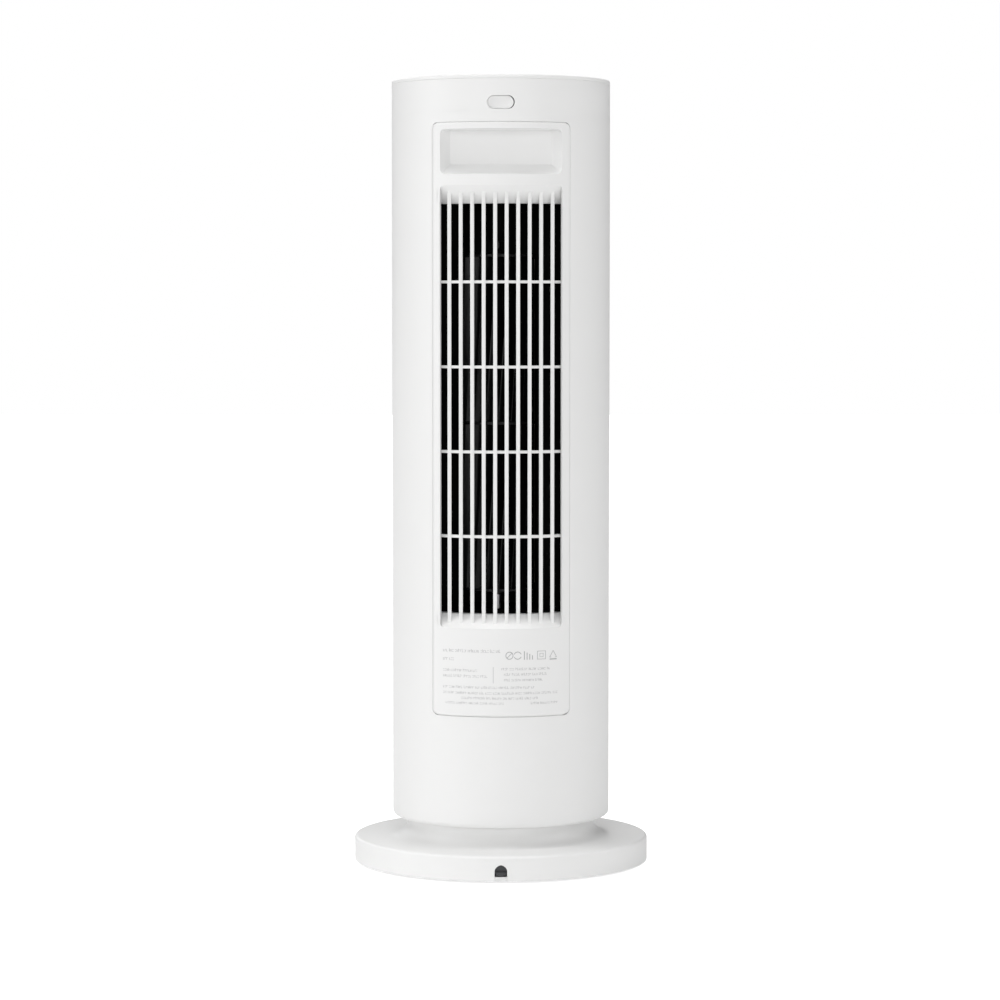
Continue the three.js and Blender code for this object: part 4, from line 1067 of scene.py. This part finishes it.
# Blade row: every section turned evenly about the axis as it rises.
def bladeRow(bottom, top, steps=16):
    section = bladeSection()
    share = np.linspace(0, 1, steps)
    patches = []
    for i in range(fan["blades"]):
        turn = 2 * math.pi * i / fan["blades"] + math.radians(fan["twist"]) * (share - 0.5)
        c, s = np.cos(turn)[:, None], np.sin(turn)[:, None]
        points = np.empty((steps, len(section), 3))
        points[..., 0] = fan["centre"][0] + section[:, 0] * c - section[:, 1] * s
        points[..., 1] = fan["centre"][1] + section[:, 0] * s + section[:, 1] * c
        points[..., 2] = (bottom + (top - bottom) * share)[:, None]
        patches.append(patch(points, wrapCols=True))
    return patches


# Two rows of blades between three discs, a boss at the motor's end, and a cone with a pin at the other.
def makeImpeller():
    centre, radius = fan["centre"], fan["radius"]
    bottom, top, end = fan["bottom"], fan["top"], fanHigh[2]
    half = fan["disc"] / 2
    middle = (bottom + top) / 2
    patches = bladeRow(bottom, middle) + bladeRow(middle, top)
    for z in (bottom, middle, top):
        disc = [[0, z - half], [radius, z - half], [radius, z + half], [0, z + half]]
        patches.append(turned(disc, [0, 0.5, 0.5, 0], centre, 96))
    bossLow, bossHigh, bossRadius = bottom - fan["bossDrop"], bottom + 6, 6
    boss = [[0, bossLow], [bossRadius, bossLow], [bossRadius, bossHigh], [0, bossHigh]]
    cone = [[0, top], [9, top + 0.9], [3.2, top + 3], [2, top + 5], [2, end], [0, end]]
    patches.append(turned(boss, [0, 0.6, 0.8, 0], centre, 48))
    patches.append(turned(cone, [0, 0.6, 1.5, 0.6, 0.4, 0], centre, 48))
    makePiece("impeller", patches, "fan", "fan", ["impeller"])


makeImpeller()
print("fan ready")

# ---- heater: upright ceramic bars with folded fins between them, before a dark sheet of painted shade that keeps the view through the fins dark

heater = {
    "columns": 5,
    "bar": 2.4,
    "pitch": 2.6,       # height of one fold
    "fin": 0.22,
    "finEnd": 0.4,
    "finGap": 0.1,
    "finBack": 1.2,
    "finFront": 0.8,
    "barBack": 1.0,     # a bar begins this far in front of the back of the painted-shade sheet
    # thickness of the dark sheet behind the bars: painted shade, it stops the view and the light through the
    # fins
    "shadeScreen": 0.8,
}
heaterLow, heaterHigh = span("heater_element")


# Fins: one strip folded up the gap between two bars, its folds running from front to back.
def makeHeater():
    back, front = heaterLow[1], heaterHigh[1]
    low, high = heaterLow[2], heaterHigh[2]
    half = heater["bar"] / 2
    centres = np.linspace(heaterLow[0] + half, heaterHigh[0] - half, heater["columns"] + 1)
    bars, fins = [], []
    barBack, shadeScreenFront = back + heater["barBack"], back + heater["shadeScreen"]
    for x in centres:
        section = [[x - half, barBack], [x + half, barBack], [x + half, front], [x - half, front]]
        bars.append(prism(filleted(section, 0.3, 3), [low, high]))
    # A dark sheet across the back of the heater: painted shade, it keeps the inside seen through the back
    # slots dark.
    shadeScreen = [[centres[0], back], [centres[-1], back], [centres[-1], shadeScreenFront], [centres[0], shadeScreenFront]]
    bars.append(prism(shadeScreen, [low, high]))
    z = np.arange(low + heater["finEnd"], high - heater["finEnd"], heater["pitch"] / 2)
    inset, depths = half + heater["finGap"], (back + heater["finBack"], front - heater["finFront"])
    for left, right in zip(centres[:-1], centres[1:]):
        x = np.where(np.arange(len(z)) % 2 == 0, left + inset, right - inset)
        rows = [np.stack([x, np.full(len(z), y), z], 1) for y in depths]
        fins.append(patch(np.stack(rows, 1)))
    makePiece("heaterBars", bars, "ceramic", "tower", ["heater_element"], closed=True)
    makePiece("heaterFins", fins, "fins", "tower", ["heater_element"], heater["fin"])


makeHeater()
print("heater ready")

# ---- base

neckHigh = span("slide_washer")[0][2] - 0.05
hubTop = span("neck_collar")[1][2]
base = {
    "radius": baseHigh[0],
    "bottom": baseLow[2],
    "top": baseHigh[2],
    "wall": 2.4,
    "rim": 2.0,         # rounding of its upper edge
    "neck": span("slide_washer")[1][0] + 1.0,
    "neckEdge": 0.8,
    "flare": 12.0,      # how far the neck's foot spreads
    "hub": 14.0,
    "bore": 9.0,
    "notchHalf": 3.95,
    "notchShoulder": 8.4,
    "notchTop": 12.1,
    "notchCurve": 1.7,  # 2 is a half round, less is more pointed
    "bridgeHalf": 10.0,   # the side wall is bridged this far to both sides of the outlet
}


# Upper profile of base and neck, from the side wall over the top, up the neck and back inside.
# The neck's foot is a quarter of an ellipse, r = neck + flare (1 - sin a) and z = top + rise (1 - cos a).
def baseProfile():
    radius, top, wall, neck = base["radius"], base["top"], base["wall"], base["neck"]
    inner, innerNeck, hub, bore = radius - wall, neck - wall, base["hub"], base["bore"]
    sideTop = top - base["rim"]
    ceiling, neckSide = neckHigh - wall, neckHigh - base["neckEdge"]
    angles = np.linspace(0, math.pi / 2, 20)
    spread = neck + base["flare"] * (1 - np.sin(angles))
    flare = np.stack([spread, top + (neckSide - top) * (1 - np.cos(angles))], 1)
    outside = filleted([[radius, sideTop], [radius, top], [neck + base["flare"] + 1, top]],
                       [0, base["rim"] - 0.01, 0], 8, closed=False)
    inside = filleted([[neck, neckSide], [neck, neckHigh], [hub, neckHigh], [hub, hubTop], [bore, hubTop],
                       [bore, ceiling], [innerNeck, ceiling], [innerNeck, top - wall], [inner, top - wall],
                       [inner, sideTop - 1]],
                      [0, 0.7, 0.5, 0.4, 0.4, 0.2, 1, 0.3, 1.0, 0], 5, closed=False)
    return np.concatenate([outside, flare, inside[1:]])


# Front and back are counted from the base's side wall inwards, middle and top are heights.
sill = {"sideGap": 0.05, "front": 1.4, "back": 8.0, "middle": 4.0, "top": 4.4}


# Side wall round the cord outlet, bridged from the outlet's arch, with the sill that closes its foot.
def outletPatches():
    radius, inner, bottom = base["radius"], base["radius"] - base["wall"], base["bottom"]
    arch = archLoop(0)
    outwards = archFrame(len(arch)) - arch
    outerFace = wrapBase(arch + outwards * np.linspace(0, 1, 9)[:, None, None], radius)
    innerFace = wrapBase(arch + outwards * np.linspace(0, 1, 5)[:, None, None], inner)
    reveal = np.stack([wrapBase(arch, r) for r in np.linspace(inner, radius, 5)])
    patches = [patch(outerFace, flip=True), patch(innerFace), patch(reveal, flip=True)]
    for side in (-1, 1):
        flat = np.stack([np.linspace(base["notchHalf"], base["bridgeHalf"], 6) * side, np.full(6, bottom)], 1)
        patches.append(patch(np.stack([wrapBase(flat, inner), wrapBase(flat, radius)])))
    half = base["notchHalf"] - sill["sideGap"]
    front, back = sill["front"] - radius, sill["back"] - radius
    outline = filleted([[-half, front], [half, front], [half, back], [-half, back]], [0.4, 0.4, 0, 0], 4)
    patches.append(prism(outline, [bottom, sill["middle"], sill["top"]]))
    return patches


def makeBaseCover():
    radius, bottom, sideTop = base["radius"], base["bottom"], base["top"] - base["rim"]
    inner = radius - base["wall"]
    segments = 256
    zone = base["bridgeHalf"] / radius
    lower = filleted([[inner, sideTop - 1], [inner, bottom], [radius, bottom], [radius, sideTop]],
                     [0, 0.4, 0.6, 0], 5, closed=False)
    patches = [lathe(baseProfile(), segments, closed=False),
               lathe(lower, segments, closed=False, start=zone - math.pi / 2, sweep=2 * math.pi - 2 * zone)]
    makePiece("baseCover", patches + outletPatches(), "shell", "base", ["base_cover", "neck_collar"],
              closed=True, even=True)


gland = {
    "low": 4.9,
    "waist": 8.1,       # height of the parting line
    "parting": 0.12,
    "half": 3.73,
    "taper": 0.62,      # width of its foot as a share of its full width
    "inArch": 0.22,     # the upper half stays this far inside the outlet's arch
    "coreHalf": 3.4,
    "coreTop": 9.6,
    "front": -base["radius"] + 0.6,
    "back": -base["radius"] + 8.6,
    "edge": 0.5,
}


# A closed outline grown outwards along the middle direction of its two sides at each corner.
def grownOutline(outline, amount):
    ahead = np.roll(outline, -1, 0) - outline
    ahead /= np.linalg.norm(ahead, axis=1)[:, None]
    outward = np.stack([ahead[:, 1], -ahead[:, 0]], 1)
    outward = outward + np.roll(outward, 1, 0)
    return outline + outward / np.linalg.norm(outward, axis=1)[:, None] * amount


# A plug seen from behind: an outline in X and Z, its front edge rounded over by a quarter circle.
def plugPatches(outline, front, back, edge):
    angles = np.linspace(0, math.pi / 2, 5)
    rows = [(-edge * (1 - math.sin(a)), front + edge * (1 - math.cos(a))) for a in angles] + [(0, back)]
    points = []
    for grow, y in rows:
        loop = grownOutline(outline, grow)
        points.append(np.stack([loop[:, 0], np.full(len(loop), y), loop[:, 1]], 1))
    return capped(np.stack(points)[::-1])


# Cord gland: a tapered lower half, and above the parting line a half that fills the outlet's arch.
def makeGland():
    half, low, front, back = gland["half"], gland["low"], gland["front"], gland["back"]
    under, over = gland["waist"] - gland["parting"], gland["waist"] + gland["parting"]
    foot, hip = half * gland["taper"], low + 1.9
    lower = filleted([[-foot, low], [foot, low], [half, hip], [half, under], [-half, under], [-half, hip]],
                     [0.9, 0.9, 1.0, 0.25, 0.25, 1.0], 4)
    arch = archLoop(-gland["inArch"])
    upper = np.concatenate([[[-half, over]], arch[arch[:, 1] > over], [[half, over]]])[::-1]
    coreHalf, coreLow, coreTop = gland["coreHalf"], low + 0.6, gland["coreTop"]
    core = [[-coreHalf, coreLow], [coreHalf, coreLow], [coreHalf, coreTop], [-coreHalf, coreTop]]
    patches = plugPatches(lower, front, back, gland["edge"])
    patches += plugPatches(upper, front + 0.15, back, gland["edge"])
    patches += plugPatches(filleted(core, 0.3, 3), front + 0.5, back - 0.1, 0.05)
    makePiece("cordGland", patches, "rubber", "base", ["cord_gland"], closed=True, even=True)


# The outlet's arch from foot to foot. Its top is a superellipse, |x / a|^n + |z / b|^n = 1.
def archLoop(grow):
    half = base["notchHalf"] + grow
    shoulder, power = base["notchShoulder"], 2 / base["notchCurve"]
    angles = np.linspace(math.pi, 0, 19)
    left = np.stack([np.full(6, -half), np.linspace(base["bottom"], shoulder, 7)[:-1]], 1)
    across = np.sign(np.cos(angles)) * np.abs(np.cos(angles)) ** power
    rise = (base["notchTop"] + grow - shoulder) * np.abs(np.sin(angles)) ** power
    top = np.stack([half * across, shoulder + rise], 1)
    return np.concatenate([left, top, (left * [-1, 1])[::-1]])


# The bridge's outer frame, up one side, across and down the other in even steps.
def archFrame(count):
    half, low, side = base["bridgeHalf"], base["bottom"], base["top"] - base["rim"] - base["bottom"]
    length = 2 * side + 2 * half
    walk = np.linspace(0, 1, count) * length
    x = np.clip(walk - side, 0, 2 * half) - half
    z = low + np.minimum(np.minimum(walk, length - walk), side)
    return np.stack([x, z], 1)


# Wraps (arc length, height) round the base at a radius.
def wrapBase(flat, radius):
    angle = flat[..., 0] / base["radius"]
    return np.stack([radius * np.sin(angle), -radius * np.cos(angle), flat[..., 1]], -1)


underside = {"ringRadii": (30, 52), "ringWidth": 1.6, "ringDrop": 0.35, "ringRoot": 0.5}
feet = {"count": 4, "radius": 8.0, "groove": 0.3}


# A disc with two low stiffening rings under it.
def makeBasePlate():
    low, high = span("base_plate")
    radius, bottom, top = high[0], low[2], high[2]
    disc = [[0, bottom], [radius, bottom], [radius, top], [0, top]]
    patches = [turned(disc, [0, 0.5, 0.3, 0], (0, 0), 200)]
    ringLow, ringHigh = bottom - underside["ringDrop"], bottom + underside["ringRoot"]
    for inner in underside["ringRadii"]:
        outer = inner + underside["ringWidth"]
        ring = [[inner, ringLow], [outer, ringLow], [outer, ringHigh], [inner, ringHigh]]
        patches.append(lathe(filleted(ring, 0.3, 3), 120))
    makePiece("baseUnderside", patches, "duct", "base", ["base_plate"])


# A rubber foot with a ring-shaped groove and a hollow middle in its sole.
def makeFeet():
    radius, groove = feet["radius"], feet["groove"]
    for i in range(feet["count"]):
        node = f"rubber_foot_{i + 1}"
        top = span(node)[1][2]
        corners = [[0, groove], [3.4, groove], [3.6, 0], [4.4, 0], [4.6, groove], [5.6, groove], [5.8, 0],
                   [7.4, 0], [radius, 0.6], [radius, top], [0, top]]
        radii = [0, 0.05, 0.05, 0.05, 0.05, 0.05, 0.05, 0.3, 0.4, 0.2, 0]
        makePiece(f"rubberFoot{i + 1}", [turned(corners, radii, middleOf(node), 56, 3)], "rubber", "base",
                  [node])


makeBaseCover()
makeGland()
makeBasePlate()
makeFeet()
print("base ready")

# ---- CAD nodes that stay: they are inside or their shape is right, so they only get a finish

kept = {
    "acetal": ["slide_washer", "swing_gear", "swing_pinion"],
    "steel": ["hub_ring", "swing_motor", "swing_bracket", "fan_motor", "fan_shaft", "thermal_cutout",
              *[f"base_screw_{i}" for i in range(1, 5)], *[f"tower_screw_{i}" for i in range(1, 5)]],
    "iron": ["ballast_plate"],
    "board": ["control_board", "power_board"],
    "duct": ["duct_floor", "duct_roof", "duct_volute", "duct_tongue", "tilt_switch"],
    "heatFrame": ["heater_frame"],
    "rubber": ["fan_bearing"],
    "wire": ["tower_harness", "air_sensor"],
    "shell": ["bottom_cover", "rocker_housing"],
}
for finishName, nodes in kept.items():
    for nodeName in nodes:
        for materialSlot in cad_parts[nodeName].material_slots:
            materialSlot.material = finishes[finishName]
print("CAD finishes set")
